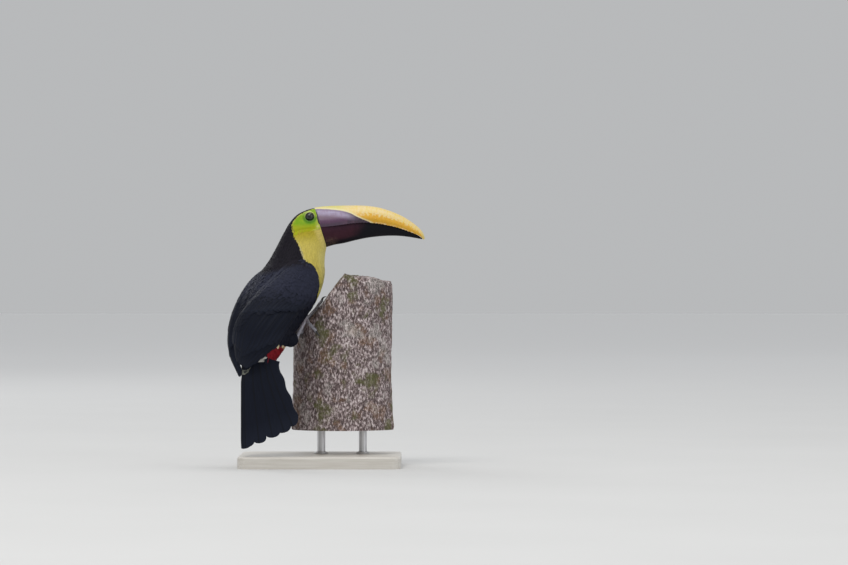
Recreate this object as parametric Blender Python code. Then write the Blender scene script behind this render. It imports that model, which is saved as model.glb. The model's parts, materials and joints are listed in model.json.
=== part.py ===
"""Life-size still model of a chestnut-mandibled toucan clinging to a cut trunk.

Units are metres, +Z is up. The origin is the centre of the underside of the
display stand. The bill points along +X. The body is turned so that the breast
faces the trunk, and its plan positions are given along the bird's own forward
line (ahead) and to its right (aside), both measured from the neck's pivot.
"""
import math
from typing import NamedTuple

import bmesh
import bpy
import numpy as np
from mathutils import Matrix, Vector

MM = 0.001
GAP = 0.35 * MM                     # clearance left between neighbouring solids

# ---- display stand -------------------------------------------------------
BASE_SIZE = (240 * MM, 200 * MM, 18 * MM)
BASE_CORNER = 14 * MM
BASE_EDGE = 3 * MM
ROD_RADIUS = 6 * MM
ROD_SPACING = 62 * MM
PERCH_BOTTOM = 54 * MM

# ---- cut trunk -----------------------------------------------------------
PERCH_CENTRE = (31.6 * MM, 25.4 * MM)
PERCH_RADIUS = 72 * MM
PERCH_SIDES = 38
RIM_LOW = 208 * MM                  # ledge under the feet
RIM_HIGH = 284 * MM                 # broken crown
SLOPE_START, SLOPE_END = -24 * MM, 37 * MM
CROWN_FALL = 0.14                   # drop of the crown beyond the slope, per metre

# ---- body ----------------------------------------------------------------
PIVOT = (-32 * MM, -28 * MM)        # plan place of the neck's pivot
BODY_HEADING = 40.0                 # degrees from +X to the way the breast faces
BODY_SIDES = 24


class Station(NamedTuple):
    """One cross-section of the body, in millimetres and degrees."""

    back: tuple[float, float]       # reach of the back: along the body plane, height
    front: tuple[float, float]      # reach of the underside
    half_width: float
    heading: float                  # turn of the section about the vertical
    widest: float                   # where the widest line lies, 0 back to 1 front


STATIONS = {
    "bill_base": Station((-8.0, 384.0), (10.0, 326.0), 19.0, 0, 0.55),
    "eye": Station((-20.5, 380.3), (8.5, 320.0), 21.5, 0, 0.52),
    "crown": Station((-34.0, 373.5), (7.5, 314.0), 23.5, 2, 0.50),
    "hindcrown": Station((-45.5, 361.0), (7.0, 307.0), 26.0, 5, 0.50),
    "nape": Station((-55.0, 344.5), (7.0, 299.0), 29.0, 11, 0.50),
    "neck": Station((-65.0, 326.0), (8.0, 289.0), 33.0, 19, 0.50),
    "neck_base": Station((-78.0, 305.5), (7.0, 277.0), 38.0, 28, 0.50),
    "shoulders": Station((-98.0, 283.0), (1.5, 261.0), 43.0, 36, 0.50),
    "breast": Station((-117.0, 258.0), (-11.0, 240.0), 45.0, 40, 0.48),
    "mid_back": Station((-131.0, 230.0), (-30.5, 218.0), 46.0, 40, 0.46),
    "belly": Station((-139.0, 202.0), (-50.5, 195.0), 43.0, 40, 0.45),
    "flank": Station((-140.0, 177.0), (-70.0, 171.0), 36.0, 40, 0.45),
    "rump": Station((-132.0, 156.0), (-86.0, 152.0), 28.0, 40, 0.45),
    "tail_root": Station((-124.0, 138.0), (-96.0, 136.0), 21.0, 40, 0.45),
}
STATION_ROWS = np.array([[*s.back, *s.front, s.half_width, s.heading, s.widest]
                         for s in STATIONS.values()])
HEAD_END, NECK_END, TRUNK_END = 3.2, 6.3, 11.85
PART_STEP = 0.035                   # part of a station left open between two nodes
# Coverts under the tail: ahead, height, half depth, half width, in millimetres.
VENT_RINGS = ((-76.0, 156.5, 14.0, 17.0), (-77.0, 142.0, 12.5, 14.5), (-80.0, 126.0, 10.0, 11.5),
              (-84.0, 112.0, 7.0, 8.0), (-88.0, 101.0, 3.0, 3.5))

# ---- head ----------------------------------------------------------------
EYE_PLACE = (-14.8 * MM, 370.5 * MM)    # x and height of the eye's centre
EYE_RADIUS = 7.6 * MM
EYE_DEPTH = 4.6 * MM                # centre of the eyeball below the side of the head

# Bill sections from the face to the tip: ridge x, height; cutting edge x, height;
# half width, in millimetres.
UPPER_BILL = np.array([
    (-7.1, 384.3, 1.7, 355.2, 18.2), (6.0, 385.9, 12.0, 355.9, 19.0), (24.0, 386.9, 27.0, 357.8, 19.0),
    (45.0, 387.2, 46.0, 360.7, 18.3), (66.0, 386.9, 65.0, 362.0, 17.2), (86.0, 384.3, 84.0, 361.0, 15.7),
    (103.0, 379.3, 100.0, 358.2, 13.8), (119.0, 372.7, 115.0, 354.7, 11.6), (134.0, 363.8, 129.0, 350.0, 9.2),
    (146.0, 354.3, 141.0, 345.3, 6.6), (152.8, 346.3, 149.0, 341.3, 4.2), (155.3, 340.2, 153.2, 337.6, 1.8)])
# Cutting edge x, height; keel x, height; half width, in millimetres.
LOWER_BILL = np.array([
    (2.0, 354.6, 10.8, 326.0, 17.8), (12.0, 355.3, 22.0, 329.7, 17.4), (27.0, 357.2, 36.0, 332.3, 16.4),
    (46.0, 360.1, 52.0, 336.3, 15.2), (65.0, 361.4, 68.0, 339.7, 13.6), (84.0, 360.4, 85.0, 341.9, 11.8),
    (100.0, 357.6, 101.0, 343.0, 9.8), (115.0, 354.1, 116.0, 342.9, 8.0), (129.0, 349.4, 130.0, 341.4, 6.0),
    (141.0, 344.7, 141.5, 339.9, 3.9), (148.5, 341.0, 149.0, 338.7, 2.0)])

# ---- wings ---------------------------------------------------------------
WING_START = 5.45                   # section of the bend of the wing
WING_TIP = {"right": 12.75, "left": 13.2}
WING_THICK = 9.0 * MM
WING_TIP_THICK = 3.0 * MM
TIP_LIFT, TIP_LIFT_START = 10.5 * MM, 11.2      # stand-off of the tips over the tail, and its first section
# Section number; upper edge of the right wing, of the left one; lower edge of both: degrees round
# the body from the back. The right wing lies over the left along the back.
WING_EDGES = np.array([
    (5.45, 82, 82, 98), (5.8, 66, 66, 108), (6.4, 50, 50, 114), (7.3, 34, 36, 118), (7.9, 22, 29, 118),
    (8.5, 8, 24, 106), (9.2, -8, 22, 103), (10.0, -18, 22, 100), (10.8, -18, 22, 96), (11.35, -16, 20, 74),
    (11.8, -13, 17, 57), (12.3, -8, 13, 35), (12.75, -2, 10, 20), (13.2, 2, 7, 12)])

# ---- tail ----------------------------------------------------------------
TAIL_RIDGE = -103.5 * MM            # ahead of the pivot (minus: behind), at the root
TAIL_HANG = 5.5 * MM                # how far the ridge bends back below the wing tips
TAIL_TENT = 40.0                    # degrees each half folds forward from flat
TAIL_TOP = 157.3 * MM               # height of the root at the ridge
TAIL_TOP_FALL = 0.075               # fall of the root line away from the ridge
TAIL_THICK = 3.0 * MM
TAIL_ROOT_HALF = 55.0 * MM
TAIL_BOW = 4.5 * MM
TAIL_FEATHERS = 5                   # on each side
# Distance from the ridge and height of the feather tips, ridge to outer edge.
TAIL_TIPS = np.array([(0.0, 29.0), (16.0, 33.0), (37.0, 41.0), (56.0, 50.5), (73.0, 60.0), (82.0, 74.0)]) * MM

# ---- legs ----------------------------------------------------------------
TARSUS_RADIUS = 2.4 * MM
TOE_RADIUS = 2.2 * MM
PAD_RADIUS = 3.8 * MM
CLAW_LENGTH = 9.0 * MM
FACET_CLEAR = 1.5 * MM              # lift of the toes that clears the flat facets of the bark
THIGH_AXES = (19 * MM, 12 * MM, 12.5 * MM)


class Top(NamedTuple):
    """A place on the trunk's broken top, in millimetres."""

    x: float
    y: float


class Side(NamedTuple):
    """A place on the trunk's side: degrees round its axis from +X, height in millimetres."""

    angle: float
    height: float


class Leg(NamedTuple):
    """Places of one leg; thigh and heel are ahead, aside and height in millimetres."""

    thigh: tuple[float, float, float]
    heel: tuple[float, float, float]
    pad: Top                        # ball of the foot
    toes: tuple[tuple[Top | Side, ...], ...]


LEGS = {
    "right": Leg((-35, 19, 192), (-19.3, 15.2, 186), Top(-20.5, -26.5), (
        (Top(-13, -22), Top(-5, -15.5), Top(3, -10)),
        (Top(-16.5, -18.5), Top(-11, -10)),
        (Side(-128, 212), Side(-122.5, 206), Side(-118.5, 200)),
        (Side(-139, 210), Side(-140.5, 203), Side(-140.5, 197)))),
    "left": Leg((-35, -19, 192), (-19.3, -15.2, 186), Top(-33.5, -12.5), (
        (Top(-28, -3), Top(-22, 6), Top(-17, 15)),
        (Top(-25.5, -7.5), Top(-18, -2.5)),
        (Side(-156, 210.5), Side(-162, 206), Side(-168, 200)),
        (Side(-152, 206), Side(-153, 200)))),
}

COLOURS = {
    "plumage": ((0.012, 0.013, 0.017), 0.5), "face": ((0.42, 0.60, 0.06), 0.6), "bib": ((0.86, 0.76, 0.24), 0.6),
    "bill": ((0.93, 0.66, 0.06), 0.35), "bill_lower": ((0.10, 0.045, 0.045), 0.35), "eye": ((0.01, 0.01, 0.01), 0.1),
    "skin": ((0.42, 0.44, 0.50), 0.6), "claw": ((0.03, 0.03, 0.035), 0.4), "bark": ((0.30, 0.25, 0.22), 0.9),
    "stand": ((0.62, 0.60, 0.56), 0.5), "rod": ((0.55, 0.55, 0.56), 0.3),
}


def clear_scene() -> None:
    """Remove every object of the open file."""
    for obj in list(bpy.data.objects):
        bpy.data.objects.remove(obj, do_unlink=True)


def collection(name: str) -> bpy.types.Collection:
    """Make a collection linked to the scene."""
    made = bpy.data.collections.new(name)
    bpy.context.scene.collection.children.link(made)
    return made


def through(rows: np.ndarray, at: np.ndarray) -> np.ndarray:
    """Smooth curve through the rows, read at fractional row numbers."""
    last = len(rows) - 1
    at = np.clip(np.asarray(at, float), 0, last - 1e-9)
    whole = at.astype(int)
    part = (at - whole)[..., None]
    padded = np.vstack([2 * rows[0] - rows[1], rows, 2 * rows[-1] - rows[-2]])
    a, b, c, d = (padded[whole + step] for step in range(4))
    return 0.5 * (2 * b + (c - a) * part + (2 * a - 5 * b + 4 * c - d) * part ** 2
                  + (3 * b - a - 3 * c + d) * part ** 3)


def plan(ahead: np.ndarray, aside: np.ndarray, heading: np.ndarray) -> tuple[np.ndarray, np.ndarray]:
    """World x and y of a place given ahead and aside of the pivot."""
    turn = np.radians(heading)
    return (PIVOT[0] + ahead * np.cos(turn) + aside * np.sin(turn),
            PIVOT[1] + ahead * np.sin(turn) - aside * np.cos(turn))


def body_surface(section: np.ndarray, angle: np.ndarray, proud: np.ndarray = 0.0) -> np.ndarray:
    """Points of the body: angle runs from the back, plus towards the bird's right."""
    section, angle, proud = np.broadcast_arrays(np.asarray(section, float), np.asarray(angle, float),
                                                np.asarray(proud, float))
    row = through(STATION_ROWS, section)
    back, front = row[..., 0:2] * MM, row[..., 2:4] * MM
    half_width, heading, widest = row[..., 4] * MM, row[..., 5], row[..., 6]
    axis = back - front
    depth = np.linalg.norm(axis, axis=-1)
    middle = back - axis * widest[..., None]
    cos, sin = np.cos(angle), np.sin(angle)
    reach = np.where(cos > 0, depth * widest, depth * (1 - widest)) + proud
    place = middle + axis / depth[..., None] * (cos * reach)[..., None]
    x, y = plan(place[..., 0] - PIVOT[0], (half_width + proud) * sin, heading)
    return np.stack([x, y, place[..., 1]], -1)


def mesh_object(name: str, points: np.ndarray, faces: list, where: bpy.types.Collection,
                colour: str, smooth: float = 35.0) -> bpy.types.Object:
    """Make an object from points and faces, with its faces turned outwards."""
    mesh = bpy.data.meshes.new(name)
    mesh.from_pydata(np.asarray(points).reshape(-1, 3).tolist(), [], faces)
    bm = bmesh.new()
    bm.from_mesh(mesh)
    bmesh.ops.remove_doubles(bm, verts=bm.verts, dist=1e-6)
    bmesh.ops.recalc_face_normals(bm, faces=bm.faces)
    bm.to_mesh(mesh)
    bm.free()
    return finish(bpy.data.objects.new(name, mesh), where, colour, smooth)


def finish(obj: bpy.types.Object, where: bpy.types.Collection, colour: str,
           smooth: float = 35.0) -> bpy.types.Object:
    """Link the object, shade it and give it its own material."""
    where.objects.link(obj)
    obj.data.shade_smooth()
    obj.data.set_sharp_from_angle(angle=math.radians(smooth))
    rgb, rough = COLOURS[colour]
    made = bpy.data.materials.new(f"{obj.name}_{colour}")
    made.use_nodes = True
    shader = made.node_tree.nodes["Principled BSDF"]
    shader.inputs["Base Color"].default_value = (*rgb, 1)
    shader.inputs["Roughness"].default_value = rough
    shader.inputs["Metallic"].default_value = 0.9 if colour == "rod" else 0.0
    obj.data.materials.clear()
    obj.data.materials.append(made)
    return obj


def loft(name: str, rings: np.ndarray, where: bpy.types.Collection, colour: str) -> bpy.types.Object:
    """Join closed rings of equal count into a tube with fanned ends."""
    count, sides = rings.shape[:2]
    points = np.vstack([rings.reshape(-1, 3), rings[0].mean(0), rings[-1].mean(0)])
    first, last = count * sides, count * sides + 1
    faces = []
    for ring in range(count - 1):
        for side in range(sides):
            here, there = ring * sides + side, ring * sides + (side + 1) % sides
            faces.append((here, there, there + sides, here + sides))
    end = (count - 1) * sides
    for side in range(sides):
        after = (side + 1) % sides
        faces.append((first, after, side))
        faces.append((last, end + side, end + after))
    return mesh_object(name, points, faces, where, colour)


def slab(name: str, outer: np.ndarray, inner: np.ndarray, where: bpy.types.Collection,
         colour: str) -> bpy.types.Object:
    """Close two grids of equal count round their rim into one thin solid."""
    rows, columns = outer.shape[:2]
    points = np.vstack([outer.reshape(-1, 3), inner.reshape(-1, 3)])
    under = rows * columns
    faces = []
    for row in range(rows - 1):
        for column in range(columns - 1):
            a = row * columns + column
            b, c, d = a + 1, a + columns + 1, a + columns
            faces.append((a, b, c, d))
            faces.append((a + under, d + under, c + under, b + under))
    rim = [column for column in range(columns)]
    rim += [row * columns + columns - 1 for row in range(1, rows)]
    rim += [(rows - 1) * columns + column for column in range(columns - 2, -1, -1)]
    rim += [row * columns for row in range(rows - 2, 0, -1)]
    for here, there in zip(rim, rim[1:] + rim[:1]):
        faces.append((here, here + under, there + under, there))
    return mesh_object(name, points, faces, where, colour)


def cut(obj: bpy.types.Object, cutter: bpy.types.Object, way: str = "DIFFERENCE") -> None:
    """Give the object a Boolean with the cutter and hide the cutter."""
    boolean = obj.modifiers.new(f"{way.lower()}_{cutter.name}", "BOOLEAN")
    boolean.operation = way
    boolean.solver = "EXACT"
    boolean.object = cutter
    cutter.hide_render = True
    cutter.display_type = "WIRE"


def ball(name: str, place: Vector, axes: tuple[float, float, float], turn: Matrix,
         where: bpy.types.Collection, colour: str, rings: int = 9) -> bpy.types.Object:
    """Make an ellipsoid from a sphere primitive, with its scale in the mesh."""
    bm = bmesh.new()
    bmesh.ops.create_uvsphere(bm, u_segments=rings * 2 - 2, v_segments=rings, radius=1.0)
    bmesh.ops.scale(bm, vec=axes, verts=bm.verts)
    bmesh.ops.transform(bm, matrix=Matrix.Translation(place) @ turn, verts=bm.verts)
    mesh = bpy.data.meshes.new(name)
    bm.to_mesh(mesh)
    bm.free()
    return finish(bpy.data.objects.new(name, mesh), where, colour, 60)


def tube(name: str, points: list[Vector], radii: list[float], where: bpy.types.Collection,
         colour: str, sides: int = 2) -> bpy.types.Object:
    """Make a tapering tube along the points, as a mesh with closed ends."""
    curve = bpy.data.curves.new(name, "CURVE")
    curve.dimensions = "3D"
    curve.bevel_depth = 1.0
    curve.bevel_resolution = sides
    curve.use_fill_caps = True
    spline = curve.splines.new("POLY")
    spline.points.add(len(points) - 1)
    for control, place, radius in zip(spline.points, points, radii):
        control.co = (*place, 1)
        control.radius = radius
    guide = bpy.data.objects.new(name + "_route", curve)
    bpy.context.scene.collection.objects.link(guide)
    graph = bpy.context.evaluated_depsgraph_get()
    mesh = bpy.data.meshes.new_from_object(guide.evaluated_get(graph))
    bpy.data.objects.remove(guide, do_unlink=True)
    bm = bmesh.new()
    bm.from_mesh(mesh)
    bmesh.ops.remove_doubles(bm, verts=bm.verts, dist=1e-6)
    bmesh.ops.recalc_face_normals(bm, faces=bm.faces)
    bm.to_mesh(mesh)
    bm.free()
    return finish(bpy.data.objects.new(name, mesh), where, colour)


def perch_top(x: float, y: float) -> float:
    """Height of the trunk's broken top: a ledge, a slope, then a falling crown."""
    rise = np.clip((x - SLOPE_START) / (SLOPE_END - SLOPE_START), 0, 1)
    rise = rise * (1 - 0.18 * (1 - rise) * (0.5 - rise))
    crown = CROWN_FALL * np.maximum(x - SLOPE_END, 0)
    ripple = 1.6 * MM * np.sin(x / (9 * MM) + y / (21 * MM)) * rise
    rear = 0.10 * np.maximum(y - PERCH_CENTRE[1], 0) * rise
    return RIM_LOW + (RIM_HIGH - RIM_LOW) * rise - crown - rear + ripple


def perch_radius(angle: np.ndarray, height: np.ndarray) -> np.ndarray:
    """Radius of the bark: a round trunk with slow swells, widening downwards."""
    swell = 1.6 * MM * np.cos(3 * angle + 0.6) + 1.0 * MM * np.cos(5 * angle + height * 24)
    foot = 3.0 * MM * (1 - np.clip((height - PERCH_BOTTOM) / (90 * MM), 0, 1)) ** 2
    near_feet = np.exp(-((angle + math.radians(180 - BODY_HEADING)) / 0.6) ** 2)
    return PERCH_RADIUS + swell * (1 - near_feet) + foot


def build_perch(where: bpy.types.Collection) -> bpy.types.Object:
    """Short length of trunk with a sawn foot and a broken, sloping top."""
    angle = np.linspace(-math.pi, math.pi, PERCH_SIDES, endpoint=False)
    cos, sin = np.cos(angle), np.sin(angle)
    rings = []
    for share in np.linspace(0, 1, 8):
        rim = perch_top(PERCH_CENTRE[0] + PERCH_RADIUS * cos, PERCH_CENTRE[1] + PERCH_RADIUS * sin)
        height = PERCH_BOTTOM + (rim - PERCH_BOTTOM) * share
        radius = perch_radius(angle, height)
        rings.append((PERCH_CENTRE[0] + radius * cos, PERCH_CENTRE[1] + radius * sin, height))
    for share in (0.98, 0.88, 0.76, 0.62, 0.46, 0.28, 0.10):
        x = PERCH_CENTRE[0] + radius * share * cos
        y = PERCH_CENTRE[1] + radius * share * sin
        rings.append((x, y, perch_top(x, y)))
    rings = np.stack([np.stack(ring, -1) for ring in rings])
    return loft("perch_trunk", rings, where, "bark")


def build_stand(where: bpy.types.Collection) -> None:
    """Flat base with softened edges and two short rods up to the trunk."""
    bm = bmesh.new()
    bmesh.ops.create_cube(bm, size=1.0)
    bmesh.ops.scale(bm, vec=BASE_SIZE, verts=bm.verts)
    bmesh.ops.translate(bm, vec=(0, 0, BASE_SIZE[2] / 2), verts=bm.verts)
    upright = [edge for edge in bm.edges if abs(edge.verts[0].co.z - edge.verts[1].co.z) > BASE_SIZE[2] / 2]
    bmesh.ops.bevel(bm, geom=upright, offset=BASE_CORNER, segments=4, affect="EDGES", profile=0.5)
    top = [edge for edge in bm.edges if min(v.co.z for v in edge.verts) > BASE_SIZE[2] - 1e-6]
    bmesh.ops.bevel(bm, geom=top, offset=BASE_EDGE, segments=2, affect="EDGES", profile=0.5)
    mesh = bpy.data.meshes.new("stand_base")
    bm.to_mesh(mesh)
    bm.free()
    finish(bpy.data.objects.new("stand_base", mesh), where, "stand", 25)
    length = PERCH_BOTTOM - BASE_SIZE[2] - 2 * GAP
    for side, sign in (("left", -1), ("right", 1)):
        bm = bmesh.new()
        bmesh.ops.create_cone(bm, cap_ends=True, segments=20, radius1=ROD_RADIUS, radius2=ROD_RADIUS, depth=length)
        place = (PERCH_CENTRE[0] + sign * ROD_SPACING / 2, PERCH_CENTRE[1], BASE_SIZE[2] + GAP + length / 2)
        bmesh.ops.translate(bm, vec=place, verts=bm.verts)
        mesh = bpy.data.meshes.new(f"stand_rod_{side}")
        bm.to_mesh(mesh)
        bm.free()
        finish(bpy.data.objects.new(f"stand_rod_{side}", mesh), where, "rod")


def body_rings(start: float, end: float, count: int) -> np.ndarray:
    """Rings of the body between two section numbers."""
    angle = np.linspace(0, 2 * math.pi, BODY_SIDES, endpoint=False)
    return body_surface(np.linspace(start, end, count)[:, None], angle[None, :])


def vent_rings() -> np.ndarray:
    """Rings of the coverts under the tail, tapering between the tail's halves."""
    angle = np.linspace(0, 2 * math.pi, BODY_SIDES, endpoint=False)
    rings = []
    for ahead, height, deep, wide in VENT_RINGS:
        x, y = plan((ahead - deep * np.cos(angle)) * MM, wide * MM * np.sin(angle), BODY_HEADING)
        rings.append(np.stack([x, y, np.full_like(x, height * MM)], -1))
    return np.stack(rings)


def eye_centres() -> dict[str, Vector]:
    """Centres of the two eyeballs, worked out from the side of the head."""
    section, angle = np.meshgrid(np.linspace(0, 1.5, 151), np.radians(np.linspace(20, 120, 201)), indexing="ij")
    side = body_surface(section, angle)
    off = (side[..., 0] - EYE_PLACE[0]) ** 2 + (side[..., 2] - EYE_PLACE[1]) ** 2
    near = side[np.unravel_index(off.argmin(), off.shape)]
    reach = abs(near[1] - PIVOT[1]) - EYE_DEPTH
    return {"right": Vector((EYE_PLACE[0], PIVOT[1] - reach, EYE_PLACE[1])),
            "left": Vector((EYE_PLACE[0], PIVOT[1] + reach, EYE_PLACE[1]))}


def build_head(where: bpy.types.Collection, cutters: bpy.types.Collection) -> None:
    """Head with two sockets, and an eyeball in each."""
    head = loft("head", body_rings(0, HEAD_END - PART_STEP, 9), where, "face")
    for side, centre in eye_centres().items():
        socket = ball(f"socket_{side}", centre, (EYE_RADIUS + GAP,) * 3, Matrix(), cutters, "skin")
        cut(head, socket)
        ball(f"eye_{side}", centre, (EYE_RADIUS,) * 3, Matrix(), where, "eye")


def bill_rings(rows: np.ndarray, upper: bool) -> np.ndarray:
    """Rings of one mandible: flat at the cutting edge, rounded to a ridge or a keel."""
    rows = through(rows, np.linspace(0, len(rows) - 1, 2 * len(rows) - 1))
    share = np.linspace(0, 1, 8)
    if upper:
        bulge = np.sin(np.minimum(share / 0.8, 1) * math.pi / 2) ** 0.8
        bulge *= 1 - 0.07 * np.maximum(share - 0.8, 0) / 0.2
    else:
        bulge = (0.93 + 0.07 * np.minimum(share / 0.3, 1)) * np.cos(share * math.pi / 2) ** 0.55
    bulge = np.maximum(bulge, 0)
    top, low, half = rows[:, None, 0:2], rows[:, None, 2:4], rows[:, None, 4]
    line = (top + (low - top) * share[None, :, None]) * MM
    across = half * bulge[None, :] * MM
    right = np.stack([line[..., 0], PIVOT[1] - across, line[..., 1]], -1)
    left = np.stack([line[..., 0], PIVOT[1] + across, line[..., 1]], -1)
    mirrored = left[:, ::-1]
    return np.concatenate([right, mirrored[:, :-1] if upper else mirrored[:, 1:]], 1)


def wing_grid(side: str, outer: bool) -> np.ndarray:
    """Grid of one face of a folded wing, laid over the body."""
    along = np.linspace(0, 1, 22)
    section = WING_START + (WING_TIP[side] - WING_START) * along
    upper = np.interp(section, WING_EDGES[:, 0], WING_EDGES[:, 1 if side == "right" else 2])
    lower = np.interp(section, WING_EDGES[:, 0], WING_EDGES[:, 3])
    across = np.linspace(0, 1, 9)
    angle = np.radians(upper[:, None] + (lower - upper)[:, None] * across[None, :])
    crown = np.sin(math.pi * np.clip(0.12 + 0.76 * across, 0, 1)) ** 0.5
    swell = np.sin(math.pi / 2 * np.clip(along / 0.3, 0, 1))
    thick = WING_THICK * (0.25 + 0.75 * swell)
    lift = np.clip((section - TIP_LIFT_START) / (WING_TIP["left"] - TIP_LIFT_START), 0, 1)[:, None]
    proud = thick[:, None] * (0.45 + 0.55 * crown[None, :]) + TIP_LIFT * lift
    if not outer:
        free = np.clip(lift / 0.25, 0, 1)
        resting = GAP + 0.7 * MM
        proud = resting + free * (proud - WING_TIP_THICK - resting)
    return body_surface(section[:, None], angle if side == "right" else -angle, proud)


def tail_grid(depth: float) -> np.ndarray:
    """Grid of the tented tail, set in by the given depth from its outer face."""
    span = np.linspace(-1, 1, 6 * TAIL_FEATHERS + 1)
    side, share = np.sign(span), np.abs(span)
    tips = through(TAIL_TIPS, share * (len(TAIL_TIPS) - 1))
    scallop = 2.4 * MM * (1 - np.abs(np.sin(share * TAIL_FEATHERS * math.pi))) * (share > 0.02)
    down = np.linspace(0, 1, 9)[:, None]
    across = TAIL_ROOT_HALF * share + (tips[:, 0] - TAIL_ROOT_HALF * share) * down
    across = across + TAIL_BOW * share * np.sin(math.pi * down)
    top = TAIL_TOP - TAIL_TOP_FALL * TAIL_ROOT_HALF * share
    height = top + (tips[:, 1] + scallop - top) * down
    tent = math.radians(TAIL_TENT)
    hang = TAIL_HANG * np.clip(down / 0.22, 0, 1) * (1 - share)
    ahead = TAIL_RIDGE - hang + across * math.sin(tent) + depth * math.cos(tent)
    aside = side * (across * math.cos(tent) - depth * math.sin(tent) * (share > 0))
    ahead = ahead + depth * (1 / math.cos(tent) - math.cos(tent)) * (share == 0)
    x, y = plan(ahead, aside, BODY_HEADING)
    return np.stack([x, y, height + 0 * x], -1)


def leg_place(ahead: float, aside: float, height: float) -> Vector:
    """World place of a leg's joint from its millimetres in the body's frame."""
    x, y = plan(ahead * MM, aside * MM, BODY_HEADING)
    return Vector((x, y, height * MM))


def on_bark(place: Top | Side, lift: float) -> Vector:
    """Point a given lift off the trunk's top or side."""
    if isinstance(place, Top):
        x, y = place.x * MM, place.y * MM
        rise = (perch_top(x + MM, y) - perch_top(x - MM, y)) / (2 * MM)
        return Vector((x, y, perch_top(x, y) + lift * math.hypot(1, rise)))
    angle, height = math.radians(place.angle), place.height * MM
    radius = perch_radius(angle, height) + lift
    return Vector((PERCH_CENTRE[0] + radius * math.cos(angle), PERCH_CENTRE[1] + radius * math.sin(angle), height))


def build_leg(side: str, leg: Leg, where: bpy.types.Collection, cutters: bpy.types.Collection) -> None:
    """Thigh, shank with four toes, and a claw on each toe."""
    pad = on_bark(leg.pad, PAD_RADIUS + FACET_CLEAR)
    heel = leg_place(*leg.heel)
    hip = leg_place(*leg.thigh)
    reach = heel - hip
    thigh = ball(f"thigh_{side}", hip, THIGH_AXES, reach.to_track_quat("X", "Z").to_matrix().to_4x4(),
                 where, "plumage", 9)
    angle = np.linspace(0, 2 * math.pi, BODY_SIDES, endpoint=False)
    rings = body_surface(np.linspace(7, 11.7, 12)[:, None], angle[None, :], GAP + 0.1 * MM)
    cut(thigh, loft(f"hollow_{side}", rings, cutters, "skin"))
    bend = heel.lerp(pad, 0.5) + Vector((0, 0, 0.4 * MM))
    start = heel.lerp(pad, -0.06)
    shank = tube(f"leg_{side}", [start, heel, bend, pad], [TARSUS_RADIUS * 1.25, TARSUS_RADIUS * 1.35,
                 TARSUS_RADIUS, TARSUS_RADIUS * 1.2], where, "skin")
    room = tube(f"room_{side}", [start + (start - heel) * 2, start, heel, bend],
                [TARSUS_RADIUS * 1.8] * 3 + [TARSUS_RADIUS * 1.4], cutters, "skin")
    cut(thigh, room)
    cut(shank, ball(f"sole_{side}", pad, (PAD_RADIUS,) * 3, Matrix(), cutters, "skin", 7), "UNION")
    for number, toe in enumerate(leg.toes, 1):
        route = [pad] + [on_bark(place, TOE_RADIUS + FACET_CLEAR) for place in toe]
        radii = np.linspace(TOE_RADIUS * 1.15, TOE_RADIUS * 0.9, len(route)).tolist()
        cut(shank, tube(f"toe_{side}_{number}", route, radii, cutters, "skin"), "UNION")
        ahead = (route[-1] - route[-2]).normalized()
        claw = [route[-1] + ahead * (GAP + 0.1 * MM + CLAW_LENGTH * share) for share in (0, 0.35, 0.7, 1)]
        if isinstance(toe[-1], Top):
            for place in claw:
                place.z = max(place.z, perch_top(place.x, place.y) + 1.6 * (TOE_RADIUS + FACET_CLEAR))
        tube(f"claw_{side}_{number}", claw, [TOE_RADIUS * s for s in (0.85, 0.7, 0.45, 0.12)], where, "claw", 1)


def main() -> None:
    """Build every solid of the model."""
    clear_scene()
    model = collection("chestnut_mandibled_toucan")
    cutters = collection("cutters")
    build_stand(model)
    build_perch(model)
    loft("neck", body_rings(HEAD_END + PART_STEP, NECK_END - PART_STEP, 9), model, "bib")
    loft("trunk", np.concatenate([body_rings(NECK_END + PART_STEP, TRUNK_END, 15), vent_rings()]), model, "plumage")
    build_head(model, cutters)
    loft("bill_upper", bill_rings(UPPER_BILL, True), model, "bill")
    loft("bill_lower", bill_rings(LOWER_BILL, False), model, "bill_lower")
    for side, leg in LEGS.items():
        slab(f"wing_{side}", wing_grid(side, True), wing_grid(side, False), model, "plumage")
        build_leg(side, leg, model, cutters)
    slab("tail", tail_grid(0.0), tail_grid(TAIL_THICK), model, "plumage")
    for cutter in cutters.objects:
        cutter.hide_render = True
        cutter.display_type = "WIRE"


main()
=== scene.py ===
"""Looks of a life-size still toucan that clings to a cut trunk on a small display stand.

Metres, +Z up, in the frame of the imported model: the bill points along +X, the breast faces
the trunk 40 degrees from +X towards +Y. The bird is built in layers, as a bird is: one skin,
then vanes of feather laid on it in tracts, then the wings' and the tail's quills.
"""
import json
import logging
import math
from collections.abc import Callable, Sequence
from dataclasses import dataclass
from enum import Enum
from functools import partial, reduce

import bpy
import numpy as np
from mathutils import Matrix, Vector
from mathutils.kdtree import KDTree

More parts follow.
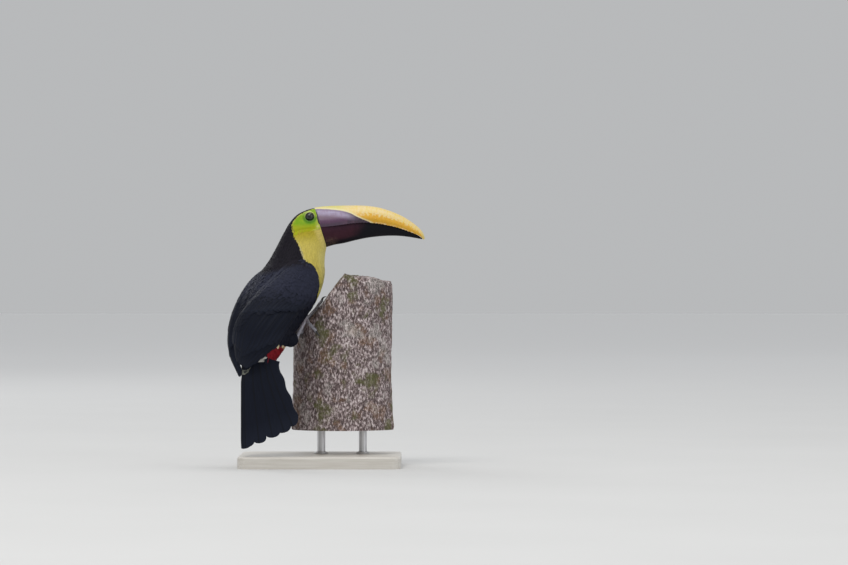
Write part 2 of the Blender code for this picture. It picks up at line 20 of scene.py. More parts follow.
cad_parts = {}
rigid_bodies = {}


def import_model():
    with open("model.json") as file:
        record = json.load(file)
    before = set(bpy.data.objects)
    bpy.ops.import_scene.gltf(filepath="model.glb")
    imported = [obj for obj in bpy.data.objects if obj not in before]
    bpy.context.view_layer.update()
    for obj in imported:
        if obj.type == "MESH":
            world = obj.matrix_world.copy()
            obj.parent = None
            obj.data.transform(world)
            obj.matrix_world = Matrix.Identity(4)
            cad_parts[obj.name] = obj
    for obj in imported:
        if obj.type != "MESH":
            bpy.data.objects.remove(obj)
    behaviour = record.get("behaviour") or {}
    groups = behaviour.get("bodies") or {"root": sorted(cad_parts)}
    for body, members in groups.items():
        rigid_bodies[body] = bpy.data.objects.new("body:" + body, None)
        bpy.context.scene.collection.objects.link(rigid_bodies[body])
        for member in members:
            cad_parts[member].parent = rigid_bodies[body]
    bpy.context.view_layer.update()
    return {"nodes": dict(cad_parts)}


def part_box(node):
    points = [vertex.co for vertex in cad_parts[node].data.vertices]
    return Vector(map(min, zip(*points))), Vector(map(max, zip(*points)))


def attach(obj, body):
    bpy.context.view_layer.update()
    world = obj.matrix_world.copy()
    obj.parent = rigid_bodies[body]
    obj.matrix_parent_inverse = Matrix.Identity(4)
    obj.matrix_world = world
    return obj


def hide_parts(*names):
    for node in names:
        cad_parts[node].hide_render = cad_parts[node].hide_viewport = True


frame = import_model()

LOG = logging.getLogger("toucan")
MM = 0.001
Array = np.ndarray
Colour = tuple[float, float, float]
Pair = tuple[float, float]
Spots = tuple[Pair, ...]
Form = Callable[[Array, Array, Array], Array]
Rule = Callable[[Array, Array], Array]
Lookup = Callable[[Array], Array]
Material, Mesh, Piece = bpy.types.Material, bpy.types.Mesh, bpy.types.Object
Tree, Node, Socket = bpy.types.NodeTree, bpy.types.Node, bpy.types.NodeSocket
Feed = Socket | float | tuple[float, ...]


# ---------------------------------------------------------------- arrays, curves and noise

def alike(*values: Array | float) -> list[Array]:
    """Bring numbers to one shape."""
    return np.broadcast_arrays(*(np.asarray(value, float) for value in values))


def grid(first: Array, second: Array) -> list[Array]:
    """Spread two rows of numbers over a grid, the first one down and the second one across."""
    return np.meshgrid(first, second, indexing="ij")


def mapped(scale: Pair, shift: Pair, pairs: Array) -> Array:
    """Scale pairs of numbers, then shift them."""
    return pairs * scale + shift


def even(value: float, first: Array, second: Array) -> Array:
    """Give the same value at every place."""
    return np.full(first.shape, value)


def through(rows: Array, at: Array) -> Array:
    """Read a smooth curve through the rows: Catmull-Rom between them, straight beyond the ends.

    Args:
        rows: values at row numbers 0, 1, 2 and so on.
        at: fractional row numbers.

    Returns:
        The rows' values at those numbers, in a new last axis.
    """
    last = len(rows) - 1
    held = np.clip(np.asarray(at, float), 0, last - 1e-9)
    whole = held.astype(int)
    part = (held - whole)[..., None]
    padded = np.vstack([2 * rows[0] - rows[1], rows, 2 * rows[-1] - rows[-2]])
    a, b, c, d = (padded[whole + step] for step in range(4))
    curve = 0.5 * (2 * b + (c - a) * part + (2 * a - 5 * b + 4 * c - d) * part ** 2
                   + (3 * b - a - 3 * c + d) * part ** 3)
    slope = np.where((np.asarray(at) > last)[..., None], rows[-1] - rows[-2], rows[1] - rows[0])
    return curve + (np.asarray(at, float) - held)[..., None] * slope


def smooth(value: Array, low: float, high: float) -> Array:
    """Rise from 0 at low to 1 at high, flat at both ends: 3t squared less 2t cubed."""
    t = np.clip((value - low) / (high - low), 0, 1)
    return t * t * (3 - 2 * t)


def waves(points: Array, pitch: float, seed: int, count: int = 18) -> Array:
    """Give smooth noise of about -1 to 1: the mean of sines in seeded directions.

    Args:
        points: places, in metres, in the last axis.
        pitch: length of the longest wave, in metres; the shortest is under half of it.
        seed: picks the directions and phases.
        count: number of sines.

    Returns:
        One value for each place.
    """
    rng = np.random.default_rng(seed)
    way = rng.normal(size=(count, 3))
    way *= (2 * math.pi / pitch * rng.uniform(1, 2.2, count) / np.linalg.norm(way, axis=1))[:, None]
    return np.sin(points @ way.T + rng.uniform(0, 2 * math.pi, count)).mean(-1) * 2.2


# ---------------------------------------------------------------- meshes

def make_mesh(name: str, points: Array, faces: Sequence[Array], sharp: float = 50.0) -> Mesh:
    """Put arrays of points and faces into a smooth-shaded mesh; closed ones are turned outwards.

    Args:
        name: the mesh's name.
        points: places, three to a row.
        faces: arrays of point numbers, each with three or four to a row.
        sharp: degrees past which an edge is drawn sharp.

    Returns:
        The mesh.
    """
    points = points.reshape(-1, 3)
    if volume(points, faces) < 0:
        faces = [part[:, ::-1] for part in faces]
    mesh = bpy.data.meshes.new(name)
    corners = np.concatenate([part.ravel() for part in faces]).astype(np.int32)
    sizes = np.concatenate([np.full(len(part), part.shape[1]) for part in faces])
    mesh.vertices.add(len(points))
    mesh.vertices.foreach_set("co", points.astype(np.float32).ravel())
    mesh.loops.add(len(corners))
    mesh.loops.foreach_set("vertex_index", corners)
    mesh.polygons.add(len(sizes))
    mesh.polygons.foreach_set("loop_start", (np.cumsum(sizes) - sizes).astype(np.int32))
    mesh.update(calc_edges=True)
    mesh.shade_smooth()
    mesh.set_sharp_from_angle(angle=math.radians(sharp))
    return mesh


def set_attribute(mesh: Mesh, name: str, values: Array) -> None:
    """Store one vector for each point of the mesh under a name."""
    made = mesh.attributes.new(name, "FLOAT_VECTOR", "POINT")
    made.data.foreach_set("vector", np.ascontiguousarray(values, np.float32).ravel())


def set_corners(mesh: Mesh, lie: Array) -> None:
    """Store body section and turn at each corner, whole across the seam, and the skin's map.

    Args:
        mesh: a mesh that may have a face across the seam, where the turn goes from 180 to -180.
        lie: section, turn and chance of each point.
    """
    count = len(mesh.polygons)
    corner, start, total = (np.empty(size, np.int32) for size in (len(mesh.loops), count, count))
    mesh.loops.foreach_get("vertex_index", corner)
    mesh.polygons.foreach_get("loop_start", start)
    mesh.polygons.foreach_get("loop_total", total)
    value = lie[corner]
    highest = np.repeat(np.maximum.reduceat(value[:, 1], start), total)
    value[:, 1] += 360.0 * (value[:, 1] < highest - 180)
    layer = mesh.attributes.new("lie", "FLOAT_VECTOR", "CORNER")
    layer.data.foreach_set("vector", value.astype(np.float32).ravel())
    places = np.clip(body_unwrap(value), 0.001, 0.999)
    mesh.uv_layers.new(name="OFBake").data.foreach_set("uv", places.astype(np.float32).ravel())


def set_map(mesh: Mesh, places: Array) -> None:
    """Give the mesh its map from one pair of numbers for each point."""
    corners = np.empty(len(mesh.loops), np.int32)
    mesh.loops.foreach_get("vertex_index", corners)
    layer = mesh.uv_layers.new(name="OFBake")
    layer.uv.foreach_set("vector", np.ascontiguousarray(places[corners], np.float32).ravel())


def ring_faces(rings: int, sides: int, start: int = 0) -> Array:
    """Quads that join closed rings of points, facing out for rings that turn left."""
    ring, side = grid(np.arange(rings - 1), np.arange(sides))
    here, after = ring * sides + side, ring * sides + (side + 1) % sides
    return start + np.stack([here, after, after + sides, here + sides], -1).reshape(-1, 4)


def volume(points: Array, faces: Sequence[Array]) -> float:
    """Signed volume of closed faces: the sum of tetrahedra from the origin to each fan of corners."""
    total = 0.0
    for part in faces:
        corner = points[part]
        for step in range(1, part.shape[1] - 1):
            fan = np.cross(corner[:, step], corner[:, step + 1])
            total += np.einsum("ij,ij->i", corner[:, 0], fan).sum() / 6
    return total


def loft(name: str, rings: Array, sharp: float = 50.0) -> Mesh:
    """Join closed rings into a tube whose ends close in a fan at their middles, facing outwards.

    Args:
        name: the mesh's name.
        rings: places on a grid of rings and sides.
        sharp: degrees past which an edge is drawn sharp.

    Returns:
        The closed mesh; its points are the rings in order, then the two middles.
    """
    count, sides = rings.shape[:2]
    points = np.vstack([rings.reshape(-1, 3), rings[0].mean(0), rings[-1].mean(0)])
    side = np.arange(sides)
    after, end = (side + 1) % sides, (count - 1) * sides
    faces = [ring_faces(count, sides),
             np.stack([np.full(sides, count * sides), after, side], -1),
             np.stack([np.full(sides, count * sides + 1), end + side, end + after], -1)]
    return make_mesh(name, points, faces, sharp)


def slab(name: str, outer: Array, inner: Array, sharp: float = 50.0) -> Mesh:
    """Close two grids of equal size round their rim into a thin solid that faces outwards.

    Args:
        name: the mesh's name.
        outer: places on a grid of rows and columns.
        inner: the matching places of the other side.
        sharp: degrees past which an edge is drawn sharp.

    Returns:
        The closed mesh.
    """
    rows, columns = outer.shape[:2]
    row, column = grid(np.arange(rows - 1), np.arange(columns - 1))
    a = (row * columns + column).ravel()
    top = np.stack([a, a + 1, a + columns + 1, a + columns], -1)
    number = np.arange(rows * columns).reshape(rows, columns)
    rim = np.concatenate([number[0], number[1:, -1], number[-1, -2::-1], number[-2:0:-1, 0]])
    after, under = np.roll(rim, -1), rows * columns
    faces = [top, top[:, ::-1] + under, np.stack([after, rim, rim + under, after + under], -1)]
    return make_mesh(name, np.vstack([outer.reshape(-1, 3), inner.reshape(-1, 3)]), faces, sharp)


def tube_rings(route: Array, radii: Array, count: int, sides: int,
               relief: Rule | None = None) -> Array:
    """Carry a circle along a smooth route: each ring stands square to the route's slope.

    Args:
        route: a few places that the route passes through.
        radii: radius at each of those places.
        count: number of rings.
        sides: points in each ring.
        relief: gives the share by which the radius grows at a share of the length and an angle.

    Returns:
        Places on a grid of rings and sides.
    """
    share = np.linspace(0, 1, count)
    row = through(np.column_stack([route, radii]), share * (len(route) - 1))
    line, radius = row[:, :3], row[:, 3]
    slope = np.gradient(line, axis=0)
    slope /= np.linalg.norm(slope, axis=1, keepdims=True)
    across = np.cross(slope, np.where(np.abs(slope[:, 2:]) > 0.85, [[1, 0, 0]], [[0, 0, 1]]))
    across /= np.linalg.norm(across, axis=1, keepdims=True)
    up = np.cross(across, slope)
    angle = np.linspace(0, 2 * math.pi, sides, endpoint=False)
    swell = 1 + (relief(share[:, None], angle[None, :]) if relief else 0)
    reach = (radius[:, None] * np.broadcast_to(swell, (count, sides)))[..., None]
    return line[:, None] + reach * (np.cos(angle)[:, None] * up[:, None]
                                    + np.sin(angle)[:, None] * across[:, None])


def add_piece(name: str, mesh: Mesh, finish: Material, slot: str,
              stands_for: Sequence[str] = ()) -> Piece:
    """Link a finished mesh as a piece of the model.

    Args:
        name: the piece's name.
        mesh: its mesh, already in place.
        finish: its material.
        slot: the record's material slot; not used.
        stands_for: solids that the piece is shown instead of.

    Returns:
        The piece.
    """
    piece = bpy.data.objects.new(name, mesh)
    bpy.context.scene.collection.objects.link(piece)
    mesh.materials.append(finish)
    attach(piece, "root")
    if stands_for:
        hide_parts(*stands_for)
    LOG.info("%s: %d faces", name, len(mesh.polygons))
    return piece


# ---------------------------------------------------------------- shader graphs

class Graph:
    """Adds shader nodes to a tree and joins them."""

    def __init__(self, tree: Tree) -> None:
        """Keep the tree."""
        self.tree = tree

    def node(self, kind: str, feeds: dict[str | int, Feed] | None = None, **settings: object) -> Node:
        """Add a node.

        Args:
            kind: the node's type, without its ShaderNode prefix.
            feeds: for each input, a socket to link or a value to set.
            settings: the node's own properties.

        Returns:
            The node.
        """
        made = self.tree.nodes.new("ShaderNode" + kind)
        for key, value in settings.items():
            setattr(made, key, value)
        for key, value in (feeds or {}).items():
            self.feed(made.inputs[key], value)
        return made

    def feed(self, socket: Socket, value: Feed) -> None:
        """Link a socket into an input, or set the input's own value."""
        if isinstance(value, Socket):
            self.tree.links.new(value, socket)
        elif isinstance(value, tuple) and len(value) == 3 and socket.type == "RGBA":
            socket.default_value = (*value, 1)
        else:
            socket.default_value = value

    def sum(self, operation: str, a: Feed, b: Feed = 0.0, c: Feed = 0.0) -> Socket:
        """Put numbers through one Math operation."""
        return self.node("Math", {0: a, 1: b, 2: c}, operation=operation).outputs[0]

    def times(self, *values: Feed) -> Socket:
        """Multiply numbers."""
        return reduce(partial(self.sum, "MULTIPLY"), values)

    def line(self, value: Feed, slope: Feed, start: Feed) -> Socket:
        """Multiply a number by a slope and add a start."""
        return self.sum("MULTIPLY_ADD", value, slope, start)

    def mix(self, factor: Feed, a: Feed, b: Feed, blend: str = "MIX") -> Socket:
        """Mix two colours."""
        return self.node("Mix", {0: factor, 6: a, 7: b}, data_type="RGBA", blend_type=blend).outputs[2]

    def layers(self, colour: Feed, *coats: tuple[Feed, Feed]) -> Socket:
        """Lay coats of colour one over another, each through its mask."""
        for mask, coat in coats:
            colour = self.mix(mask, colour, coat)
        return colour

    def shade(self, colour: Feed, tone: Feed) -> Socket:
        """Multiply a colour by a grey tone."""
        grey = self.node("CombineColor", {0: tone, 1: tone, 2: tone}).outputs[0]
        return self.mix(1.0, colour, grey, "MULTIPLY")

    def rise(self, value: Feed, low: Feed, high: Feed, top: Feed = 1.0) -> Socket:
        """Rise smoothly from 0 where the value is low to the top where it is high."""
        return self.node("MapRange", {"Value": value, "From Min": low, "From Max": high, "To Max": top},
                         interpolation_type="SMOOTHSTEP").outputs[0]

    def noise(self, place: Feed, scale: float, detail: float = 3.0, rough: float = 0.5) -> Socket:
        """Read noise of 0 to 1, with its scale in waves to a metre."""
        feeds = {"Vector": place, "Scale": scale, "Detail": detail, "Roughness": rough}
        return self.node("TexNoise", feeds).outputs[0]

    def seams(self, place: Feed, scale: float, low: float, high: float) -> Socket:
        """Part a surface into small cells: 0 at their seams and 1 inside."""
        cells = self.node("TexVoronoi", {"Vector": place, "Scale": scale}, feature="DISTANCE_TO_EDGE")
        return self.rise(cells.outputs[0], low, high)

    def stretch(self, place: Feed, scale: Colour, turn: Colour = (0, 0, 0), move: Colour = (0, 0, 0)) -> Socket:
        """Move, turn and scale coordinates."""
        feeds = {"Vector": place, "Location": move, "Rotation": turn, "Scale": scale}
        return self.node("Mapping", feeds).outputs[0]

    def split(self, place: Feed) -> tuple[Socket, ...]:
        """Take coordinates apart."""
        return tuple(self.node("SeparateXYZ", {0: place}).outputs)

    def away(self, spot: Colour, **axes: Feed) -> Socket:
        """Measure how far a place, given by its X, Y or Z, is from a spot."""
        place = self.node("CombineXYZ", axes).outputs[0]
        return self.node("VectorMath", {0: place, 1: spot}, operation="DISTANCE").outputs["Value"]

    def curve(self, value: Feed, stops: Sequence[Pair]) -> Socket:
        """Follow straight lines between stops.

        Args:
            value: the number read along the stops' first values.
            stops: pairs, in rising order of the first.

        Returns:
            The matching second value.
        """
        low, high = stops[0][0], stops[-1][0]
        floor, top = min(stop[1] for stop in stops), max(stop[1] for stop in stops)
        share = self.node("MapRange", {"Value": value, "From Min": low, "From Max": high}).outputs[0]
        made = self.node("FloatCurve", {"Value": share})
        line = made.mapping.curves[0]
        places = [((x - low) / (high - low), (y - floor) / (top - floor)) for x, y in stops]
        line.points[0].location, line.points[1].location = places[0], places[-1]
        for place in places[1:-1]:
            line.points.new(*place)
        for point in line.points:
            point.handle_type = "VECTOR"
        made.mapping.update()
        return self.line(made.outputs[0], top - floor, floor)

    def objects(self) -> Socket:
        """Read Object coordinates."""
        return self.node("TexCoord").outputs["Object"]

    def attribute(self, name: str) -> Socket:
        """Read a stored vector."""
        return self.node("Attribute", attribute_name=name).outputs["Vector"]

    def group(self, group: Tree, **feeds: Feed) -> bpy.types.NodeOutputs:
        """Place a shared group and give its outputs."""
        return self.node("Group", feeds, node_tree=group).outputs


class Kind(Enum):
    """Kinds of socket on a shared group."""

    VALUE = "NodeSocketFloat"
    COLOUR = "NodeSocketColor"
    PLACE = "NodeSocketVector"


class GroupGraph(Graph):
    """The graph of a new shared group."""

    def __init__(self, name: str, takes: dict[str, Kind], gives: dict[str, Kind]) -> None:
        """Open the group with its inputs and outputs."""
        super().__init__(bpy.data.node_groups.new(name, "ShaderNodeTree"))
        for way, sockets in (("INPUT", takes), ("OUTPUT", gives)):
            for label, kind in sockets.items():
                self.tree.interface.new_socket(name=label, in_out=way, socket_type=kind.value)
        self.takes = self.tree.nodes.new("NodeGroupInput").outputs
        self.gives = self.tree.nodes.new("NodeGroupOutput").inputs


class FinishGraph(Graph):
    """The graph of a new material, round its Principled BSDF."""

    def __init__(self, name: str, **settings: float) -> None:
        """Start the material; the settings are its shader's sockets, with _ for each space."""
        self.material = bpy.data.materials.new(name)
        self.material.use_nodes = True
        super().__init__(self.material.node_tree)
        self.shader = self.tree.nodes["Principled BSDF"].inputs
        for key, value in settings.items():
            self.shader[key.replace("_", " ")].default_value = value

    def dress(self, colour: Feed, rough: Feed | None = None, height: Feed | None = None, strength: float = 0.3,
              depth: float = 0.25 * MM) -> Material:
        """Feed the shader.

        Args:
            colour: its colour.
            rough: its roughness, where it changes over the surface.
            height: a height of 0 to 1 that tilts its normal.
            strength: strength of that relief.
            depth: how deep the relief is.

        Returns:
            The material.
        """
        self.feed(self.shader["Base Color"], colour)
        if rough is not None:
            self.feed(self.shader["Roughness"], rough)
        if height is not None:
            bump = self.node("Bump", {"Height": height, "Strength": strength, "Distance": depth})
            self.feed(self.shader["Normal"], bump.outputs[0])
        return self.material


# ---------------------------------------------------------------- forms of the bird

BODY_ROWS = np.array([
    # back: along the body plane, height; front; half width (mm); heading (degrees); widest line
    (-8.0, 384.0, 10.0, 326.0, 19.0, 0, 0.55),          # 0 bill base
    (-20.5, 380.3, 8.5, 320.0, 21.5, 0, 0.52),          # 1 eye
    (-34.0, 373.5, 7.5, 314.0, 23.5, 2, 0.50),          # 2 crown
    (-45.5, 361.0, 7.0, 307.0, 26.0, 5, 0.50),          # 3 hindcrown
    (-55.0, 344.5, 7.0, 299.0, 29.0, 11, 0.50),         # 4 nape
    (-65.0, 326.0, 8.0, 289.0, 33.0, 19, 0.50),         # 5 neck
    (-78.0, 305.5, 7.0, 277.0, 38.0, 28, 0.50),         # 6 neck base
    (-98.0, 283.0, 1.5, 261.0, 43.0, 36, 0.50),         # 7 shoulders
    (-117.0, 258.0, -11.0, 240.0, 45.0, 40, 0.48),      # 8 breast
    (-131.0, 230.0, -30.5, 218.0, 46.0, 40, 0.46),      # 9 mid back
    (-139.0, 202.0, -50.5, 195.0, 43.0, 40, 0.45),      # 10 belly
    (-140.0, 177.0, -70.0, 171.0, 36.0, 40, 0.45),      # 11 flank
    (-132.0, 156.0, -86.0, 152.0, 28.0, 40, 0.45),      # 12 rump
    (-124.0, 138.0, -96.0, 136.0, 21.0, 40, 0.45)])     # 13 tail root
LAST_SECTION = len(BODY_ROWS) - 1.0


@dataclass(frozen=True)
class Body:
    """The bird's body, swept in numbered sections from the face to the tail's root."""

    pivot: tuple[float, float] = (-32 * MM, -28 * MM)
    heading: float = 40.0               # degrees from +X to the way the breast faces
    skin_end: float = 11.85

    def plan(self, ahead: Array, aside: Array, heading: Array) -> tuple[Array, Array]:
        """World x and y of places ahead and to the right of the neck's pivot, for a heading in degrees."""
        turn = np.radians(heading)
        return (self.pivot[0] + ahead * np.cos(turn) + aside * np.sin(turn),
                self.pivot[1] + ahead * np.sin(turn) - aside * np.cos(turn))

    def place(self, section: Array, turn: Array, proud: Array) -> Array:
        """Work out places on the body: each section is two half ellipses that meet at its widest line.

        Args:
            section: section number.
            turn: degrees round the section from the back, plus towards the bird's right.
            proud: how far outside the body's outline.

        Returns:
            World places.
        """
        section, turn, proud = alike(section, turn, proud)
        row = through(BODY_ROWS, section)
        back, front = row[..., 0:2] * MM, row[..., 2:4] * MM
        half_width, heading, widest = row[..., 4] * MM, row[..., 5], row[..., 6]
        axis = back - front
        depth = np.linalg.norm(axis, axis=-1)
        middle = back - axis * widest[..., None]
        cos, sin = np.cos(np.radians(turn)), np.sin(np.radians(turn))
        reach = np.where(cos > 0, depth * widest, depth * (1 - widest)) + proud
        spot = middle + axis / depth[..., None] * (cos * reach)[..., None]
        x, y = self.plan(spot[..., 0] - self.pivot[0], (half_width + proud) * sin, heading)
        return np.stack([x, y, spot[..., 1]], -1)


BODY = Body()


def body_unwrap(pairs: Array) -> Array:
    """The skin's unwrap: section along it and turn round it."""
    return np.stack([pairs[:, 0] / (LAST_SECTION + 0.5), (pairs[:, 1] + 180) / 360], -1)


def same(pairs: Array) -> Array:
    """Section and turn of roots that already hold them."""
    return pairs


class Side(Enum):
    """A side of the bird, as the sign of the turn round its body."""

    RIGHT = 1
    LEFT = -1

    @property
    def word(self) -> str:
        """The side's name as the pieces use it."""
        return self.name.lower()


@dataclass(frozen=True)
class WingForm:
    """A folded wing's outer face, laid over the body from its bend to its tip."""

    side: Side
    start: float = 5.15                 # the body section at the bend
    thick: float = 9 * MM
    tip_lift: float = 10.5 * MM         # stand-off of the tips over the tail
    lift_start: float = 11.2
    rest_gap: float = 1.05 * MM         # space between the wing and the body
    # Section; upper edge of the right wing, of the left one; lower edge of both (degrees).
    edges: tuple[tuple[float, ...], ...] = (
        (5.15, 84, 84, 97), (5.45, 72, 72, 106), (5.8, 61, 61, 110), (6.4, 50, 50, 114), (7.3, 34, 36, 118),
        (7.9, 22, 29, 118), (8.5, 8, 24, 106), (9.2, -8, 22, 103), (10.0, -18, 22, 100), (10.8, -18, 22, 96),
        (11.35, -16, 20, 74), (11.8, -13, 17, 57), (12.3, -8, 13, 35), (12.75, -2, 10, 20), (13.2, 2, 7, 12))

    @property
    def tip(self) -> float:
        """The body section at the wing's tip."""
        return 12.75 if self.side is Side.RIGHT else 13.2

    def section(self, along: Array) -> Array:
        """Body section at a share of the wing's length."""
        return self.start + (self.tip - self.start) * np.asarray(along, float)

    def turn(self, along: Array, across: Array) -> Array:
        """Degrees round the body at shares of the length and of the width from the upper edge down."""
        table, section = np.array(self.edges), self.section(along)
        upper = np.interp(section, table[:, 0], table[:, 1 if self.side is Side.RIGHT else 2])
        lower = np.interp(section, table[:, 0], table[:, 3])
        return self.side.value * (upper + (lower - upper) * across)

    def depth(self, along: Array, across: Array) -> Array:
        """Thickness of the wing: full over its middle and thin at its rim, thinner towards the bend."""
        rim = np.maximum(1 - np.abs(2 * np.clip(across, 0, 1) - 1) ** 5, 0) ** 0.5
        swell = 0.25 + 0.75 * np.sin(math.pi / 2 * np.clip(np.asarray(along) / 0.3, 0, 1))
        return self.thick * swell * (0.30 + 0.70 * rim) * (1 - 0.45 * smooth(along, 0.72, 1.0))

    def rest(self, along: Array) -> Array:
        """Height of the wing's underside over the body: a gap, then the stand-off over the tail."""
        lift = np.clip((self.section(along) - self.lift_start) / (13.2 - self.lift_start), 0, 1)
        return self.rest_gap + (self.tip_lift + 1.2 * MM) * lift ** 0.85

    def place(self, along: Array, across: Array, proud: Array) -> Array:
        """World places at a height over the wing's outer face."""
        along, across = np.asarray(along, float), np.asarray(across, float)
        height = self.rest(along) + self.depth(along, across) + proud
        return BODY.place(self.section(along), self.turn(along, across), height)


@dataclass(frozen=True)
class TailForm:
    """The tented tail: two flat halves that fold forward from a ridge, with bowed sides."""

    ridge: float = -103.5 * MM          # ahead of the pivot at the root, so behind it
    hang: float = 5.5 * MM
    tent: float = 40.0                  # degrees each half folds forward
    top: float = 157.3 * MM
    top_fall: float = 0.075
    root_half: float = 55 * MM
    bow: float = 4.5 * MM
    # Distance from the ridge and height of the feather tips (mm).
    tips: Spots = ((0, 29), (16, 33), (37, 41), (56, 50.5), (73, 60), (82, 74))

    def place(self, span: Array, down: Array, proud: Array) -> Array:
        """Work out places over the tail's outer face.

        Args:
            span: share of the half width, plus towards the bird's right.
            down: share of the length from the root.
            proud: height over the outer face.

        Returns:
            World places.
        """
        span, down, proud = alike(span, down, proud)
        side, share = np.sign(span), np.abs(span)
        tips = through(np.array(self.tips) * MM, share * (len(self.tips) - 1))
        across = self.root_half * share + (tips[..., 0] - self.root_half * share) * np.maximum(down, 0)
        across = across + self.bow * share * np.sin(math.pi * np.clip(down, 0, 1))
        top = self.top - self.top_fall * self.root_half * share
        height = top + (tips[..., 1] - top) * down
        tent = math.radians(self.tent)
        hang = self.hang * np.clip(down / 0.22, 0, 1) * (1 - np.minimum(share, 1))
        rounded = 2.5 * MM * np.exp(-(across / (6 * MM)) ** 2)
        ahead = self.ridge - hang + across * math.sin(tent) - proud * math.cos(tent) + rounded
        aside = side * (across * math.cos(tent) + proud * math.sin(tent) * np.clip(across / (4 * MM), 0, 1))
        x, y = BODY.plan(ahead, aside, BODY.heading)
        return np.stack([x, y, height], -1)


TAIL = TailForm()


@dataclass(frozen=True)
class VentForm:
    """The soft cone of coverts under the tail's root."""

    # Ahead of the pivot, height, half depth, half width (mm).
    rows: tuple[tuple[float, ...], ...] = (
        (-76, 156.5, 14, 17), (-77, 142, 12.5, 14.5), (-80, 126, 10, 11.5), (-84, 112, 7, 8), (-88, 101, 3, 3.5))

    def place(self, level: Array, turn: Array, proud: Array) -> Array:
        """World places: ellipses that shrink downwards, with the turn in degrees from the back."""
        row = through(np.array(self.rows) * MM, level)
        turn = np.radians(turn)
        x, y = BODY.plan(row[..., 0] - (row[..., 2] + proud) * np.cos(turn),
                         (row[..., 3] + proud) * np.sin(turn), BODY.heading)
        return np.stack(np.broadcast_arrays(x, y, row[..., 1]), -1)


VENT = VentForm()


@dataclass(frozen=True)
class ThighForm:
    """The feathered thigh: an egg between the hip and the heel."""

    side: Side
    hip: tuple[float, float, float] = (-35, 19, 192)        # ahead, aside, height (mm)
    heel: tuple[float, float, float] = (-19.3, 15.2, 186)
    reach: float = 19 * MM
    half: float = 12.2 * MM

    def joint(self, spot: tuple[float, float, float]) -> Array:
        """World place of a joint of this side's leg."""
        x, y = BODY.plan(spot[0] * MM, self.side.value * spot[1] * MM, BODY.heading)
        return np.array([x, y, spot[2] * MM])

    def place(self, along: Array, turn: Array, proud: Array) -> Array:
        """World places: an ellipsoid whose radius is the half width times the sine of its length's angle."""
        hip, heel = self.joint(self.hip), self.joint(self.heel)
        axis = (heel - hip) / np.linalg.norm(heel - hip)
        across = np.cross(axis, [0, 0, 1])
        across /= np.linalg.norm(across)
        up = np.cross(across, axis)
        along = np.asarray(along, float)
        angle, bend = math.pi * np.clip(along, 0.02, 0.98), np.radians(turn)
        radius = self.half * np.sin(angle) ** 0.8 + proud
        line = hip - axis * (self.reach * np.cos(angle))[..., None]
        return line + radius[..., None] * (np.cos(bend)[..., None] * up + np.sin(bend)[..., None] * across)


# ---------------------------------------------------------------- feathers

@dataclass(frozen=True)
class Vane:
    """Shape of one feather: a closed, thin blade of rings over the top and back underneath."""

    rings: tuple[float, ...]            # shares of the length
    over: tuple[float, ...]             # shares of the half width over the top, edge to edge
    under: tuple[float, ...]            # shares underneath, from the far edge back
    fullest: float = 1.45               # above 1 the blade is widest nearer its tip
    blunt: float = 2.4                  # higher rounds the tip more
    quill: float = 0.0                  # how far the middle stands over the blade, in thicknesses
    pointed: float = 0.5                # power of the outline: higher draws the tip to a point

    def points(self) -> tuple[Array, Array, Array]:
        """Work out the blade's points: half width is 1 less |2t^fullest - 1|^blunt, to the power pointed.

        Returns:
            Share of the length, share of the half width and height in thicknesses, for each point.
        """
        t = np.array(self.rings)[:, None]
        width = np.maximum(1 - np.abs(2 * t ** self.fullest - 1) ** self.blunt, 0) ** self.pointed
        loop = np.array(self.over + self.under)[None, :]
        top = np.array([1.0] * len(self.over) + [-0.6] * len(self.under))[None, :]
        high = top * (1 - loop ** 2) + (self.quill * (np.abs(loop) < 0.02) * (top > 0)) * (1 - t)
        along = np.broadcast_to(t, (len(self.rings), loop.shape[1]))
        return (np.concatenate([[0.0], along.ravel(), [1.0]]),
                np.concatenate([[0.0], (width * loop).ravel(), [0.0]]),
                np.concatenate([[0.0], np.broadcast_to(high, along.shape).ravel(), [0.0]]))

    def faces(self) -> list[Array]:
        """Triangles at the root and the tip, and quads between the rings."""
        rings, sides = len(self.rings), len(self.over) + len(self.under)
        side = np.arange(sides)
        after, end = (side + 1) % sides, 1 + (rings - 1) * sides
        return [ring_faces(rings, sides, 1),
                np.stack([np.zeros(sides, int), after + 1, side + 1], -1),
                np.stack([np.full(sides, rings * sides + 1), end + side, end + after], -1)]


BODY_VANE = Vane((0.08, 0.32, 0.58, 0.80, 0.93), (-1, 0, 1), (0,), 1.3, 2.0, pointed=0.7)
SOFT_VANE = Vane((0.08, 0.32, 0.56, 0.77, 0.91), (-1, 0, 1), (0,), 1.05, 1.9, pointed=0.9)
QUILL_VANE = Vane((*np.linspace(0.02, 0.88, 18), 0.92, 0.95, 0.97, 0.985, 0.995),
                  (-1, -0.6, -0.07, 0, 0.07, 0.6, 1), (0.6, 0, -0.6), 1.0, 12.0, 1.6)


@dataclass
class Feathers:
    """Feathers to be laid on a form, as arrays with one entry each."""

    root: Array                    # place on the form: two numbers each
    tip: Array
    width: Array                   # half width
    low: Array                     # height over the form at the root
    high: Array                    # height at the tip
    chance: Array                  # 0 to 1, different for each
    thick: float = 0.25 * MM
    droop: float = 0.12                 # fall of the edges, as a share of the half width
    sweep: Array | float = 0.0     # sideways bend of the middle, in metres


def slopes(form: Form, first: Array, second: Array, proud: Array) -> tuple[Array, Array]:
    """Slopes of a form along its two numbers, from small steps."""
    step = 1e-3
    here = form(first, second, proud)
    return ((form(first + step, second, proud) - here) / step,
            (form(first, second + step, proud) - here) / step)


